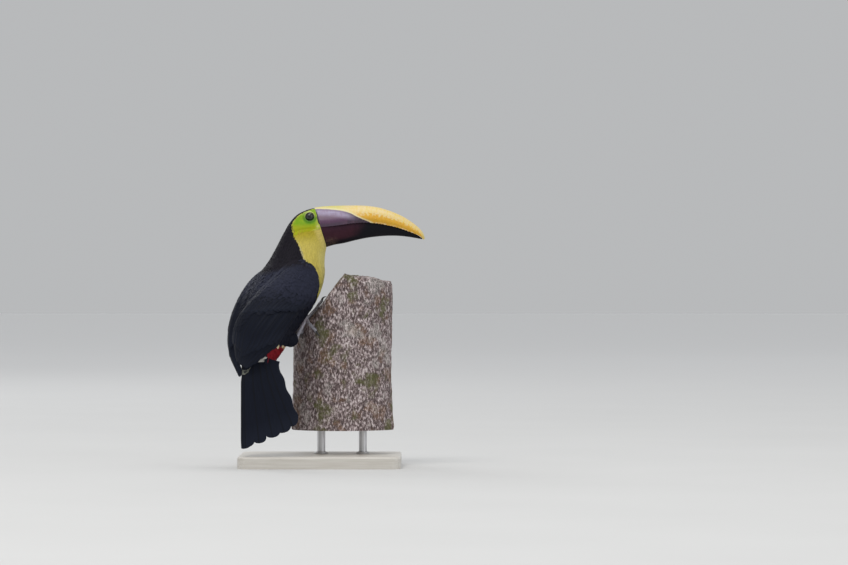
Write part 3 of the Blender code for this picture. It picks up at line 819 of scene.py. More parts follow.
def steps(along: Array, across: Array, way: Array) -> tuple[Array, Array]:
    """Solve for the changes of a form's two numbers that move a point by a given way in space."""
    aa, ab, bb = (along * along).sum(-1), (along * across).sum(-1), (across * across).sum(-1)
    wa, wb = (way * along).sum(-1), (way * across).sum(-1)
    whole = np.maximum(aa * bb - ab * ab, 1e-18)
    return (wa * bb - wb * ab) / whole, (wb * aa - wa * ab) / whole


def in_parts(work: Rule, pairs: Array, most: int = 60000) -> Array:
    """Work on pairs of numbers some thousands at a time, to hold less at once, and join the results."""
    return np.concatenate([work(*part.T) for part in np.array_split(pairs, len(pairs) // most + 1)])


def scatter(form: Form, low: Pair, high: Pair, spacing: Rule, wanted: Rule, seed: int) -> tuple[Array, Array]:
    """Spread roots evenly: random places, thinned so that none is nearer another than its spacing.

    Args:
        form: the form that they lie on.
        low: lowest values of the form's two numbers.
        high: highest values.
        spacing: distance between neighbours at a place.
        wanted: true where feathers grow.
        seed: picks the places.

    Returns:
        The two numbers of each root, one pair to a row, and a chance of 0 to 1 for each.
    """
    rng = np.random.default_rng(seed)

    def need(first: Array, second: Array) -> Array:
        """Roots for each unit of the form's two numbers: the area there over the spacing squared."""
        one, two = slopes(form, first, second, np.zeros(len(first)))
        return np.linalg.norm(np.cross(one, two), axis=1) / spacing(first, second) ** 2

    def on_form(first: Array, second: Array) -> Array:
        """Places on the form itself."""
        return form(first, second, np.zeros(len(first)))

    most = need(*rng.uniform(low, high, (4000, 2)).T).max()
    spots = rng.uniform(low, high, (int(4.5 * most * (high[0] - low[0]) * (high[1] - low[1])), 2))
    draw = rng.uniform(0, most, len(spots))
    free = in_parts(wanted, spots)
    spots, draw = spots[free], draw[free]
    spots = spots[draw < in_parts(need, spots)]
    places, gap = in_parts(on_form, spots), spacing(*spots.T)
    tree = KDTree(len(spots))
    for number, spot in enumerate(places):
        tree.insert(spot, number)
    tree.balance()
    free, kept = np.ones(len(spots), bool), []
    for number, spot in enumerate(places):
        if free[number]:
            kept.append(number)
            free[[near[1] for near in tree.find_range(spot, gap[number])]] = False
    return spots[kept], rng.uniform(0, 1, len(kept))


def grow(form: Form, roots: Array, chance: Array, length: Array, width: Array,
         low: Array | float, high: Array | float, lean: Array | float = 0.0,
         **settings: float) -> Feathers:
    """Point feathers along the form's first number, turned by a lean.

    Args:
        form: the form that they lie on.
        roots: two numbers of each root.
        chance: 0 to 1, different for each.
        length: length of each.
        width: half width of each.
        low: height of the roots over the form.
        high: height of the tips.
        lean: degrees that each turns towards the form's rising second number.
        settings: more values of Feathers.

    Returns:
        The feathers.
    """
    one, two = slopes(form, roots[:, 0], roots[:, 1], np.full(len(roots), float(np.mean(low))))
    ahead = one / np.linalg.norm(one, axis=1, keepdims=True)
    side = two - (two * ahead).sum(-1, keepdims=True) * ahead
    side /= np.linalg.norm(side, axis=1, keepdims=True)
    lean = np.radians(lean + 9 * (chance * 7.3 % 1 - 0.5))[:, None]
    way = (np.cos(lean) * ahead + np.sin(lean) * side) * np.asarray(length)[:, None]
    first, second = steps(one, two, way)
    tip = roots + np.stack([first, second], -1)
    full = np.ones(len(roots))
    return Feathers(roots, tip, width * full, low * full, high * full, chance, **settings)


def lay(name: str, form: Form, feathers: Feathers, vane: Vane, lie: Lookup, unwrap: Lookup, finish: Material,
        slot: str = "plumage", strips: bool = False, stands_for: Sequence[str] = ()) -> None:
    """Lay closed blades on a form as one piece, each following it along its length and width.

    The blade's middle runs straight from root to tip in the form's two numbers. Each point steps
    sideways from it by solving for the step across, and stands at a height that rises from root to
    tip, less the droop of the edges.

    Args:
        name: the piece's name.
        form: the form.
        feathers: what is laid.
        vane: the blade's shape.
        lie: from each root's two numbers to body section and turn.
        unwrap: from the same to the skin's unwrap, each 0 to 1.
        finish: the piece's material.
        slot: the record's material slot.
        strips: gives each feather a wide strip of the unwrap instead of a small patch.
        stands_for: solids that the piece is shown instead of.
    """
    t, u, h = vane.points()
    count, each = len(feathers.root), len(t)
    middle = feathers.root[:, None] + (feathers.tip - feathers.root)[:, None] * t[None, :, None]
    proud = feathers.low[:, None] + (feathers.high - feathers.low)[:, None] * t[None, :] ** 0.8
    one, two = slopes(form, middle[..., 0], middle[..., 1], proud)
    run = feathers.tip - feathers.root
    ahead = one * run[:, None, :1] + two * run[:, None, 1:]
    ahead /= np.maximum(np.linalg.norm(ahead, axis=-1, keepdims=True), 1e-12)
    up = np.cross(one, two)
    up /= np.maximum(np.linalg.norm(up, axis=-1, keepdims=True), 1e-12)
    side = np.cross(up, ahead)
    swept = np.asarray(feathers.sweep).reshape(-1, 1) * np.sin(math.pi * t[None, :])
    ragged = 1 + 0.10 * np.sin(feathers.chance[:, None] * 40 + t[None, :] * 23 + np.sign(u)[None, :] * 2)
    reach = feathers.width[:, None] * u[None, :] * ragged + swept
    first, second = steps(one, two, side * reach[..., None])
    height = proud + feathers.thick * h[None, :] - feathers.droop * feathers.width[:, None] * u[None, :] ** 2
    points = form(middle[..., 0] + first, middle[..., 1] + second, height)
    start = (np.arange(count) * each)[:, None, None]
    faces = [(part[None] + start).reshape(-1, part.shape[1]) for part in vane.faces()]
    mesh = make_mesh(name, points, faces, 70)
    coloured = np.column_stack([lie(feathers.root), feathers.chance])
    set_attribute(mesh, "lie", np.repeat(coloured, each, axis=0))
    set_attribute(mesh, "root", np.repeat(form(*feathers.root.T, feathers.low), each, axis=0))
    along, across, chance = alike(t, u, feathers.chance[:, None])
    set_attribute(mesh, "vane", np.stack([along, across, chance], -1))
    if strips:
        number = np.arange(count)[:, None]
        place = np.stack([(number + 0.5 + 0.45 * across) / count, 0.02 + 0.96 * along], -1)
    else:
        patch = np.stack([across, 2 * along - 1], -1)
        place = np.clip(unwrap(feathers.root), 0.003, 0.997)[:, None] + 0.0015 * patch
    set_map(mesh, place.reshape(-1, 2))
    add_piece(name, mesh, finish, slot, stands_for)


# ---------------------------------------------------------------- markings

# Where yellow begins round the body: section, degrees from the back.
BIB_BORDER = ((0, 15), (1.2, 17), (1.8, 20), (2.45, 21), (2.95, 27), (3.2, 38), (3.4, 49), (3.56, 58), (3.74, 65),
              (4.05, 70), (4.6, 76), (5.0, 83), (5.25, 100), (5.6, 112), (6.2, 119), (6.9, 124), (7.3, 138),
              (7.8, 158), (8.0, 180))
# Where the neck's black turns into the back's navy, which is painted paler on the shoulders as light from above:
# degrees from the back, section.
NECK_LINE = ((10, 6.42), (41, 6.0), (72, 5.49), (102, 5.2))
# Where the bare face ends below.
FACE_FOLD = ((0, 88), (0.58, 87), (1.45, 80), (2.15, 70), (2.74, 58), (3.26, 48), (3.42, 30))
# By how many sections the rump's pale coverts begin early, and where the vent's red begins.
RUMP_START = ((0, -0.9), (40, -0.9), (56, 0.0), (80, 0.0))
RED_START = ((11.0, 80), (11.28, 88), (11.67, 112), (12.0, 125))
EYE_SPOT = (-14.8 * MM, 370.5 * MM)     # x and height of the eyes
GAPE_SPOT = (-3.0 * MM, 0.0, 356.0 * MM)


def bib_edge(section: Array, turn: Array) -> Array:
    """Degrees by which a place lies inside the yellow."""
    return np.abs(turn) - np.interp(section, *np.array(BIB_BORDER).T)


def face_edge(section: Array, turn: Array) -> Array:
    """Degrees by which a place lies inside the bare face; minus outside it."""
    below = np.interp(section, *np.array(FACE_FOLD).T) - np.abs(turn)
    return np.where(np.asarray(section) < FACE_FOLD[-1][0], np.minimum(bib_edge(section, turn), below), -20.0)


def markings_group() -> Tree:
    """Make the bird's colours from body section, turn and place, for skin and feathers alike, with painted light
    on the shoulders' navy and painted shade on the rump's white coverts.

    Returns:
        A group from Lie (section, turn, chance) and Place to Colour.
    """
    graph = GroupGraph("bird_markings", {"Lie": Kind.PLACE, "Place": Kind.PLACE}, {"Colour": Kind.COLOUR})
    mix, rise, times, layers = graph.mix, graph.rise, graph.times, graph.layers
    section, turn, chance = graph.split(graph.takes["Lie"])
    turn = graph.sum("ABSOLUTE", turn)
    x, _, z = graph.split(graph.takes["Place"])
    edge = graph.sum("ADD", turn, graph.line(chance, 1.4, -0.7))
    edge = graph.sum("SUBTRACT", edge, graph.curve(section, BIB_BORDER))
    above_fold = graph.sum("SUBTRACT", graph.curve(section, FACE_FOLD), turn)
    past_neck = graph.sum("SUBTRACT", section, graph.curve(turn, NECK_LINE))
    to_rump = graph.sum("ADD", section, graph.curve(turn, RUMP_START))
    to_red = graph.sum("SUBTRACT", turn, graph.curve(section, RED_START))
    yellow, face_end = rise(edge, -0.8, 0.8), FACE_FOLD[-1][0]
    bare = times(yellow, rise(above_fold, -1.0, 1.0), rise(section, face_end, face_end - 0.12))
    # Nearest the back the rump's white coverts are painted olive-grey, a painted shade under the wing tips;
    # further round they keep their white.
    rump = mix(rise(turn, 25, 50), (0.13, 0.135, 0.115), (0.44, 0.43, 0.40))
    # The shoulders' navy is partly the plumage's own hue and partly painted light from above; from section 7 it
    # fades back to the darker back.
    dark = layers(
        (0.0085, 0.0072, 0.0115), (rise(past_neck, -0.1, 0.3), (0.0175, 0.0195, 0.0345)),
        (rise(section, 7.0, 8.4), (0.0058, 0.0072, 0.0140)),
        (times(rise(to_rump, 11.06, 11.14), rise(turn, 84, 78)), rump),
        (times(rise(section, 10.28, 10.34), rise(turn, 80, 86), rise(section, 11.0, 10.9)), (0.50, 0.43, 0.27)),
        (times(rise(section, 10.40, 10.46), rise(to_red, -2, 2)), (0.17, 0.0065, 0.012)),
        (times(rise(section, 7.85, 7.95), rise(section, 8.34, 8.28), rise(turn, 148, 156)), (0.72, 0.64, 0.42)),
        (times(rise(section, 8.26, 8.34), rise(section, 8.72, 8.64), rise(turn, 150, 158)), (0.40, 0.009, 0.010)))
    fringe = times(rise(edge, 9.5, 5.0), rise(section, 3.25, 3.55), rise(section, 5.9, 5.2), 0.75)
    golden = layers(
        (0.52, 0.43, 0.095), (rise(z, 0.300, 0.262), (0.50, 0.44, 0.050)),
        (rise(z, 0.333, 0.353), (0.37, 0.305, 0.022)), (rise(section, 1.1, 0.2, 0.7), (0.58, 0.47, 0.15)),
        (times(rise(turn, 112, 150, 0.55), rise(z, 0.338, 0.318)), (0.66, 0.60, 0.24)),
        (fringe, (0.42, 0.39, 0.25)))
    eye_x, eye_z = EYE_SPOT
    away, gape = graph.away((eye_x, 0.0, eye_z), X=x, Z=z), graph.away(GAPE_SPOT, X=x, Z=z)
    under = times(rise(z, eye_z + 3 * MM, eye_z - 4 * MM), rise(away, 12.5 * MM, 9.5 * MM), 0.8)
    lid = mix(rise(z, eye_z - 3 * MM, eye_z + 3 * MM), (0.11, 0.24, 0.05), (0.52, 0.56, 0.22))
    patchy = graph.noise(graph.takes["Place"], 260.0, 3.0)
    lime = layers(
        (0.165, 0.315, 0.006), (rise(z, 0.3615, 0.353), (0.33, 0.33, 0.007)),
        (rise(x, -9 * MM, 0.0), (0.46, 0.48, 0.10)), (rise(patchy, 0.35, 0.70, 0.6), (0.25, 0.35, 0.007)),
        (under, (0.070, 0.19, 0.012)), (rise(away, 8.3 * MM, 7.3 * MM, 0.85), lid),
        (rise(edge, 7.0, 1.5, 0.75), (0.50, 0.48, 0.08)),
        (rise(gape, 2.8 * MM, 0.8 * MM, 0.6), (0.58, 0.54, 0.20)))
    graph.feed(graph.gives["Colour"], mix(yellow, dark, mix(bare, golden, lime)))
    return graph.tree


def barbs_group() -> Tree:
    """Make the fine build of one blade from its vane attribute: barbs, shaft and edge.

    Returns:
        A group from Vane (share of length, share of half width, chance) and Barbs, the number of
        barbs along a blade, to Height, Shaft and Edge.
    """
    graph = GroupGraph("feather_barbs", {"Vane": Kind.PLACE, "Barbs": Kind.VALUE},
                       {"Height": Kind.VALUE, "Shaft": Kind.VALUE, "Edge": Kind.VALUE})
    along, across, _ = graph.split(graph.takes["Vane"])
    far = graph.sum("ABSOLUTE", across)
    slant = graph.sum("SUBTRACT", along, graph.times(far, 0.16))
    wobble = graph.noise(graph.stretch(graph.takes["Vane"], (9.0, 3.0, 31.0)), 1.0, 2.0)
    ridge = graph.sum("SINE", graph.times(graph.line(wobble, 0.05, slant), graph.takes["Barbs"], 2 * math.pi))
    graph.feed(graph.gives["Height"], graph.line(ridge, 0.5, 0.5))
    graph.feed(graph.gives["Shaft"], graph.rise(far, 0.10, 0.02))
    graph.feed(graph.gives["Edge"], graph.rise(graph.sum("MAXIMUM", far, graph.times(along, 1.02)), 0.72, 0.98))
    return graph.tree


def horn_group() -> Tree:
    """Make the fine wear of horn: streaks along the bill, growth lines across it and small pits.

    Returns:
        A group from Place and Lie (shares along and down the bill) to Tone and Height.
    """
    graph = GroupGraph("bill_horn", {"Place": Kind.PLACE, "Lie": Kind.PLACE},
                       {"Tone": Kind.VALUE, "Height": Kind.VALUE})
    streak = graph.noise(graph.stretch(graph.takes["Lie"], (3.0, 34.0, 1.0)), 1.0, 5.0, 0.6)
    growth = graph.noise(graph.stretch(graph.takes["Lie"], (60.0, 3.0, 1.0)), 1.0, 3.0)
    pits = graph.noise(graph.takes["Place"], 1900.0, 2.0)
    graph.feed(graph.gives["Tone"], graph.line(streak, 0.55, graph.times(growth, 0.45)))
    graph.feed(graph.gives["Height"], graph.line(pits, 0.25, graph.line(growth, 0.7, graph.times(streak, 0.5))))
    return graph.tree


# ---------------------------------------------------------------- finishes

@dataclass(frozen=True)
class CoatFinish:
    """Small feathers that carry the bird's markings."""

    barbs: float = 22.0
    rough: float = 0.60
    edge: float = 0.15                  # how much paler the blades' edges are
    gloss: float = 0.10

    def make(self, markings: Tree, barbs: Tree) -> Material:
        """Build the material: one colour to each feather, from the place of its root."""
        graph = FinishGraph("coat_feathers", Specular_IOR_Level=self.gloss)
        vane = graph.attribute("vane")
        colour = graph.group(markings, Lie=graph.attribute("lie"), Place=graph.attribute("root"))["Colour"]
        build = graph.group(barbs, Vane=vane, Barbs=self.barbs)
        chance = graph.split(vane)[2]
        pale = graph.mix(1.0, colour, (1.7, 1.7, 1.75), "MULTIPLY")
        colour = graph.mix(graph.times(build["Edge"], self.edge), colour, pale)
        tone = graph.times(graph.line(chance, 0.22, 0.89), graph.line(build["Height"], 0.14, 0.92))
        return graph.dress(graph.shade(colour, tone), graph.line(chance, 0.14, self.rough - 0.07),
                           build["Height"], 0.2, 0.1 * MM)


@dataclass(frozen=True)
class QuillFinish:
    """Long dark quills with a glossy shaft and fine barbs."""

    colour: Colour = (0.0040, 0.0053, 0.0108)
    edge: Colour = (0.0125, 0.0155, 0.0270)
    shaft: Colour = (0.0055, 0.0060, 0.0085)
    barbs: float = 130.0
    rough: float = 0.50
    gloss: float = 0.09

    def make(self, barbs: Tree) -> Material:
        """Build the material from the blade's own coordinates."""
        graph = FinishGraph("quill_feathers", Specular_IOR_Level=self.gloss)
        vane = graph.attribute("vane")
        build = graph.group(barbs, Vane=vane, Barbs=self.barbs)
        streak = graph.noise(graph.stretch(vane, (2.0, 7.0, 23.0)), 3.0, 4.0)
        colour = graph.layers(
            self.colour, (graph.rise(streak, 0.3, 0.75, 0.6), tuple(1.8 * part for part in self.colour)),
            (graph.times(build["Edge"], 0.55), self.edge), (graph.times(build["Height"], 0.25), self.edge),
            (graph.times(build["Shaft"], 0.7), self.shaft))
        rough = graph.line(build["Shaft"], -0.14, graph.line(graph.split(vane)[2], 0.10, self.rough))
        return graph.dress(colour, rough, build["Height"], 0.3, 0.12 * MM)


@dataclass(frozen=True)
class SkinFinish:
    """Skin of the body: bare and finely wrinkled on the face, hidden under feathers elsewhere."""

    gloss: float = 0.14
    glow: float = 0.03                  # share of light that passes under the skin

    def make(self, markings: Tree) -> Material:
        """Build the material from the same markings as the coat's."""
        graph = FinishGraph("face_skin", Specular_IOR_Level=self.gloss, Subsurface_Weight=self.glow,
                            Subsurface_Scale=0.002)
        place = graph.objects()
        colour = graph.group(markings, Lie=graph.attribute("lie"), Place=place)["Colour"]
        grain, crease = graph.noise(place, 1500.0, 4.0, 0.6), graph.seams(place, 900.0, 0.0, 0.12)
        tone = graph.times(graph.line(grain, 0.35, 0.82), graph.line(crease, 0.07, 0.93))
        return graph.dress(graph.shade(colour, tone), graph.line(grain, 0.2, 0.42),
                           graph.line(crease, 0.3, graph.times(grain, 0.6)), 0.35, 0.15 * MM)


@dataclass(frozen=True)
class LegFinish:
    """Scaled grey-blue skin of the legs and feet."""

    blue: Colour = (0.30, 0.295, 0.345)
    dusty: Colour = (0.54, 0.52, 0.57)
    seam: Colour = (0.07, 0.07, 0.085)

    def make(self) -> Material:
        """Build the material: small scales with dark seams and dusty tops."""
        graph = FinishGraph("leg_scales", Specular_IOR_Level=0.5)
        place = graph.objects()
        seam, cloud = graph.seams(place, 1100.0, 0.02, 0.14), graph.noise(place, 420.0, 4.0)
        colour = graph.layers(self.blue, (graph.rise(cloud, 0.35, 0.7), self.dusty),
                              (graph.line(seam, -0.6, 0.6), self.seam))
        return graph.dress(colour, graph.line(cloud, 0.3, 0.38), seam, 0.5, 0.2 * MM)


@dataclass(frozen=True)
class StreakedFinish:
    """A finish drawn out into fine streaks between two colours."""

    name: str
    scale: Colour                       # waves to a metre along X, Y and Z
    first: Colour
    second: Colour
    rough: Pair                         # growth with the streaks, and least
    relief: Pair                        # strength and depth
    detail: float = 3.0
    grit: float = 0.5
    contrast: bool = True

    def make(self, **settings: float) -> Material:
        """Build the material, with more of its shader's own values."""
        graph = FinishGraph(self.name, **settings)
        streak = graph.noise(graph.stretch(graph.objects(), self.scale), 1.0, self.detail, self.grit)
        mask = graph.rise(streak, 0.35, 0.7) if self.contrast else streak
        return graph.dress(graph.mix(mask, self.first, self.second), graph.line(streak, *self.rough), streak,
                           *self.relief)


CLAW_HORN = StreakedFinish("claw_horn", (900, 900, 2600), (0.012, 0.011, 0.012), (0.045, 0.040, 0.038),
                           (0.25, 0.22), (0.25, 0.1 * MM))
BASE_LACQUER = StreakedFinish("base_lacquer", (14, 330, 330), (0.52, 0.49, 0.44), (0.60, 0.575, 0.53),
                              (0.2, 0.32), (0.12, 0.2 * MM), 4.0, 0.6)
ROD_STEEL = StreakedFinish("rod_steel", (60, 60, 5200), (0.50, 0.50, 0.51), (0.64, 0.64, 0.65),
                           (0.22, 0.24), (0.15, 0.05 * MM), contrast=False)


@dataclass(frozen=True)
class EyeFinish:
    """A wet, dark eye: black pupil, grey-green iris and dark rim, round the eye's own axis."""

    pupil: float = 2.5 * MM
    iris: float = 4.7 * MM

    def make(self) -> Material:
        """Build the material from the distance to the axis, which runs along Y."""
        graph = FinishGraph("eye_wet", Coat_Weight=0.55, Coat_Roughness=0.03, Roughness=0.3,
                            Specular_IOR_Level=0.25)
        x, _, z = graph.split(graph.stretch(graph.objects(), (1, 0, 1), move=(-EYE_SPOT[0], 0, -EYE_SPOT[1])))
        away, angle = graph.away((0.0, 0.0, 0.0), X=x, Z=z), graph.sum("ARCTAN2", z, x)
        spoke = graph.node("CombineXYZ", {"X": graph.sum("SINE", angle), "Y": graph.sum("COSINE", angle),
                                          "Z": graph.times(away, 160.0)}).outputs[0]
        fibre = graph.noise(spoke, 9.0, 4.0, 0.6)
        iris = graph.layers((0.004, 0.008, 0.007), (graph.rise(fibre, 0.3, 0.75), (0.026, 0.044, 0.036)),
                            (graph.rise(away, self.iris * 0.80, self.iris), (0.008, 0.009, 0.010)))
        return graph.dress(graph.layers(
            (0.0015, 0.0015, 0.0015), (graph.rise(away, self.pupil * 0.94, self.pupil * 1.04), iris),
            (graph.rise(away, self.iris, self.iris * 1.06), (0.006, 0.0055, 0.005))))


@dataclass(frozen=True)
class UpperBillFinish:
    """Yellow horn with a chestnut wedge at the base, parted by a slanting line."""

    cream: Colour = (0.62, 0.52, 0.200)
    peach: Colour = (0.66, 0.48, 0.26)
    gold: Colour = (0.66, 0.40, 0.030)
    ochre: Colour = (0.56, 0.29, 0.010)
    ridge: Colour = (0.52, 0.48, 0.130)
    parting_band: Colour = (0.62, 0.56, 0.31)
    tip: Colour = (0.56, 0.47, 0.150)
    # painted highlight: a lilac-grey sky reflection along the top of the chestnut wedge
    lilac: Colour = (0.30, 0.255, 0.37)
    mauve: Colour = (0.088, 0.038, 0.084)
    rose: Colour = (0.150, 0.070, 0.125)
    slate: Colour = (0.050, 0.032, 0.055)
    plum: Colour = (0.024, 0.011, 0.023)
    rim: Colour = (0.010, 0.006, 0.008)
    # The line between yellow and chestnut: along X, height (m).
    parting: Spots = (
        (-0.012, 0.3818), (-0.002, 0.3819), (0.0135, 0.3814), (0.0296, 0.3797), (0.038, 0.3779), (0.0466, 0.3750),
        (0.055, 0.3702), (0.0636, 0.3664), (0.072, 0.3632), (0.085, 0.3560), (0.160, 0.2800))

    def make(self, horn: Tree) -> Material:
        """Build the material from object coordinates and the bill's own shares."""
        graph = FinishGraph("bill_upper_horn", Coat_Weight=0.12, Coat_Roughness=0.25, Specular_IOR_Level=0.4,
                            Subsurface_Weight=0.04, Subsurface_Scale=0.003)
        rise, times = graph.rise, graph.times
        place, lie = graph.objects(), graph.attribute("lie")
        tone, height = graph.group(horn, Place=place, Lie=lie).values()
        x, _, z = graph.split(place)
        along, down, _ = graph.split(lie)
        mottle = graph.noise(place, 260.0, 5.0, 0.6)
        above = graph.sum("ADD", graph.sum("SUBTRACT", z, graph.curve(x, self.parting)),
                          graph.line(mottle, 1.0 * MM, -0.5 * MM))
        ragged = graph.sum("ADD", down, graph.line(tone, 0.4, graph.line(mottle, 0.9, -0.65)))
        # Towards the tip the cream above and the deeper ochre on the lower half are partly the horn's own colours
        # and partly painted light from above.
        yellow = graph.layers(
            self.cream, (rise(tone, 0.60, 0.42, 0.6), self.peach),
            (times(rise(ragged, 0.40, 0.60), rise(x, 0.046, 0.062)), self.ochre),
            (rise(tone, 0.44, 0.60, 0.5), self.gold),
            # Pale peach flecks along the cutting edge are painted glints on its teeth.
            (times(rise(down, 0.90, 0.98), rise(mottle, 0.42, 0.60)), self.peach),
            (rise(x, 0.050, 0.020, 0.8), self.ridge), (rise(above, 3.6 * MM, 0.8 * MM, 0.85), self.parting_band),
            (rise(x, 0.1480, 0.1535, 0.8), self.tip))
        # The lilac in a band under the parting is a painted reflection of the sky, not the horn's colour.
        chestnut = graph.layers(
            self.mauve, (rise(above, -13 * MM, -5 * MM), self.lilac),
            (rise(above, -4.0 * MM, -0.8 * MM, 0.5), self.mauve),
            (rise(down, 0.78, 0.96, 0.8), self.slate), (rise(x, 0.030, 0.058, 0.9), self.plum),
            (rise(tone, 0.46, 0.64, 0.45), self.rose))
        colour = graph.layers(chestnut, (rise(above, -0.35 * MM, 0.35 * MM), yellow),
                              (times(rise(along, 0.0150, 0.0120), rise(down, 0.05, 0.35)), self.rim))
        return graph.dress(colour, graph.line(tone, 0.35, 0.26), height)


@dataclass(frozen=True)
class LowerBillFinish:
    """Chestnut horn that turns black towards the keel and the tip."""

    chestnut: Colour = (0.026, 0.0078, 0.0175)
    deeper: Colour = (0.033, 0.0080, 0.0150)
    paler: Colour = (0.050, 0.0150, 0.0260)
    dark: Colour = (0.0030, 0.0029, 0.0062)
    worn: Colour = (0.105, 0.066, 0.050)
    rim: Colour = (0.008, 0.005, 0.006)

    def make(self, horn: Tree) -> Material:
        """Build the material from object coordinates and the bill's own shares."""
        graph = FinishGraph("bill_lower_horn", Coat_Weight=0.05, Coat_Roughness=0.3, Specular_IOR_Level=0.11)
        rise, place, lie = graph.rise, graph.objects(), graph.attribute("lie")
        tone, height = graph.group(horn, Place=place, Lie=lie).values()
        x, (along, down, _) = graph.split(place)[0], graph.split(lie)
        wander = graph.line(graph.noise(place, 120.0, 3.0), 14 * MM, -7 * MM)
        reach = graph.sum("ADD", graph.line(down, 16 * MM, wander), x)
        worn = graph.rise(graph.noise(place, 420.0, 4.0, 0.6), 0.36, 0.62, 0.7)
        colour = graph.layers(
            self.chestnut, (rise(down, 0.05, 0.5), self.deeper), (rise(tone, 0.40, 0.66, 0.5), self.paler),
            (rise(down, 0.66, 0.90), self.dark), (rise(reach, 0.050, 0.078), self.dark),
            (graph.times(rise(x, 0.030, 0.016), rise(down, 0.45, 0.80), worn), self.worn),
            (rise(along, 0.0150, 0.0115), self.rim))
        return graph.dress(colour, graph.line(tone, 0.35, 0.26), height)


@dataclass(frozen=True)
class BarkFinish:
    """Mottled bark: pale flecks and crusts, rusty and mossy patches, and a sawn foot."""

    saw_height: float = 54.6 * MM
    saw_radius: float = 70.5 * MM
    ring: float = 2.6 * MM              # width of a year's ring

    def flecks(self, graph: Graph, place: Feed, lean: float) -> Socket:
        """Noise drawn out into short strokes that lean by some degrees."""
        return graph.noise(graph.stretch(place, (400, 400, 190), (0, math.radians(lean), 0.3)), 1.0, 5.0, 0.62)

    def make(self) -> Material:
        """Build the material from object coordinates, with rings on the sawn end."""
        graph = FinishGraph("bark", Specular_IOR_Level=0.25)
        rise, times, place = graph.rise, graph.times, graph.objects()
        x, y, z = graph.split(place)
        fleck = self.flecks(graph, place, 38.0)
        other = self.flecks(graph, graph.stretch(place, (1, 1, 1), move=(0.4, 0.2, 0.7)), -32.0)
        fine, broad = graph.noise(place, 900.0, 5.0, 0.65), graph.noise(place, 42.0, 3.0)
        patch = graph.noise(graph.stretch(place, (1, 1, 1), move=(0.31, 0.17, 0.05)), 30.0, 4.0, 0.55)
        fleck = graph.sum("MAXIMUM", fleck, times(other, rise(broad, 0.56, 0.42)))
        away = graph.away((*Perch.centre, 0.0), X=x, Y=y)
        wobble = graph.line(graph.noise(place, 24.0, 2.0), 9 * MM, away)
        ring = graph.line(graph.sum("SINE", times(wobble, 2 * math.pi / self.ring)), 0.5, 0.5)
        wood = graph.mix(ring, (0.34, 0.22, 0.12), (0.47, 0.33, 0.20))
        sawn = times(rise(z, self.saw_height + 0.3 * MM, self.saw_height),
                     rise(away, self.saw_radius, self.saw_radius - 1.5 * MM))
        colour = graph.layers(
            (0.038, 0.027, 0.026), (rise(fine, 0.34, 0.66), (0.190, 0.140, 0.138)),
            (rise(fleck, 0.49, 0.57), (0.37, 0.300, 0.300)), (rise(fleck, 0.57, 0.66), (0.68, 0.61, 0.60)),
            (rise(fleck, 0.42, 0.34, 0.75), (0.022, 0.016, 0.017)),
            (times(rise(broad, 0.52, 0.66), rise(fine, 0.36, 0.58), 0.55), (0.21, 0.110, 0.045)),
            (times(rise(patch, 0.53, 0.66), rise(fine, 0.30, 0.52), 0.8), (0.095, 0.100, 0.028)),
            (times(rise(patch, 0.44, 0.34), rise(fine, 0.44, 0.56), 0.6), (0.50, 0.475, 0.44)), (sawn, wood))
        return graph.dress(colour, graph.line(fine, 0.25, 0.68), graph.line(fleck, 0.6, times(fine, 0.5)), 0.8,
                           1.2 * MM)


# ---------------------------------------------------------------- perch

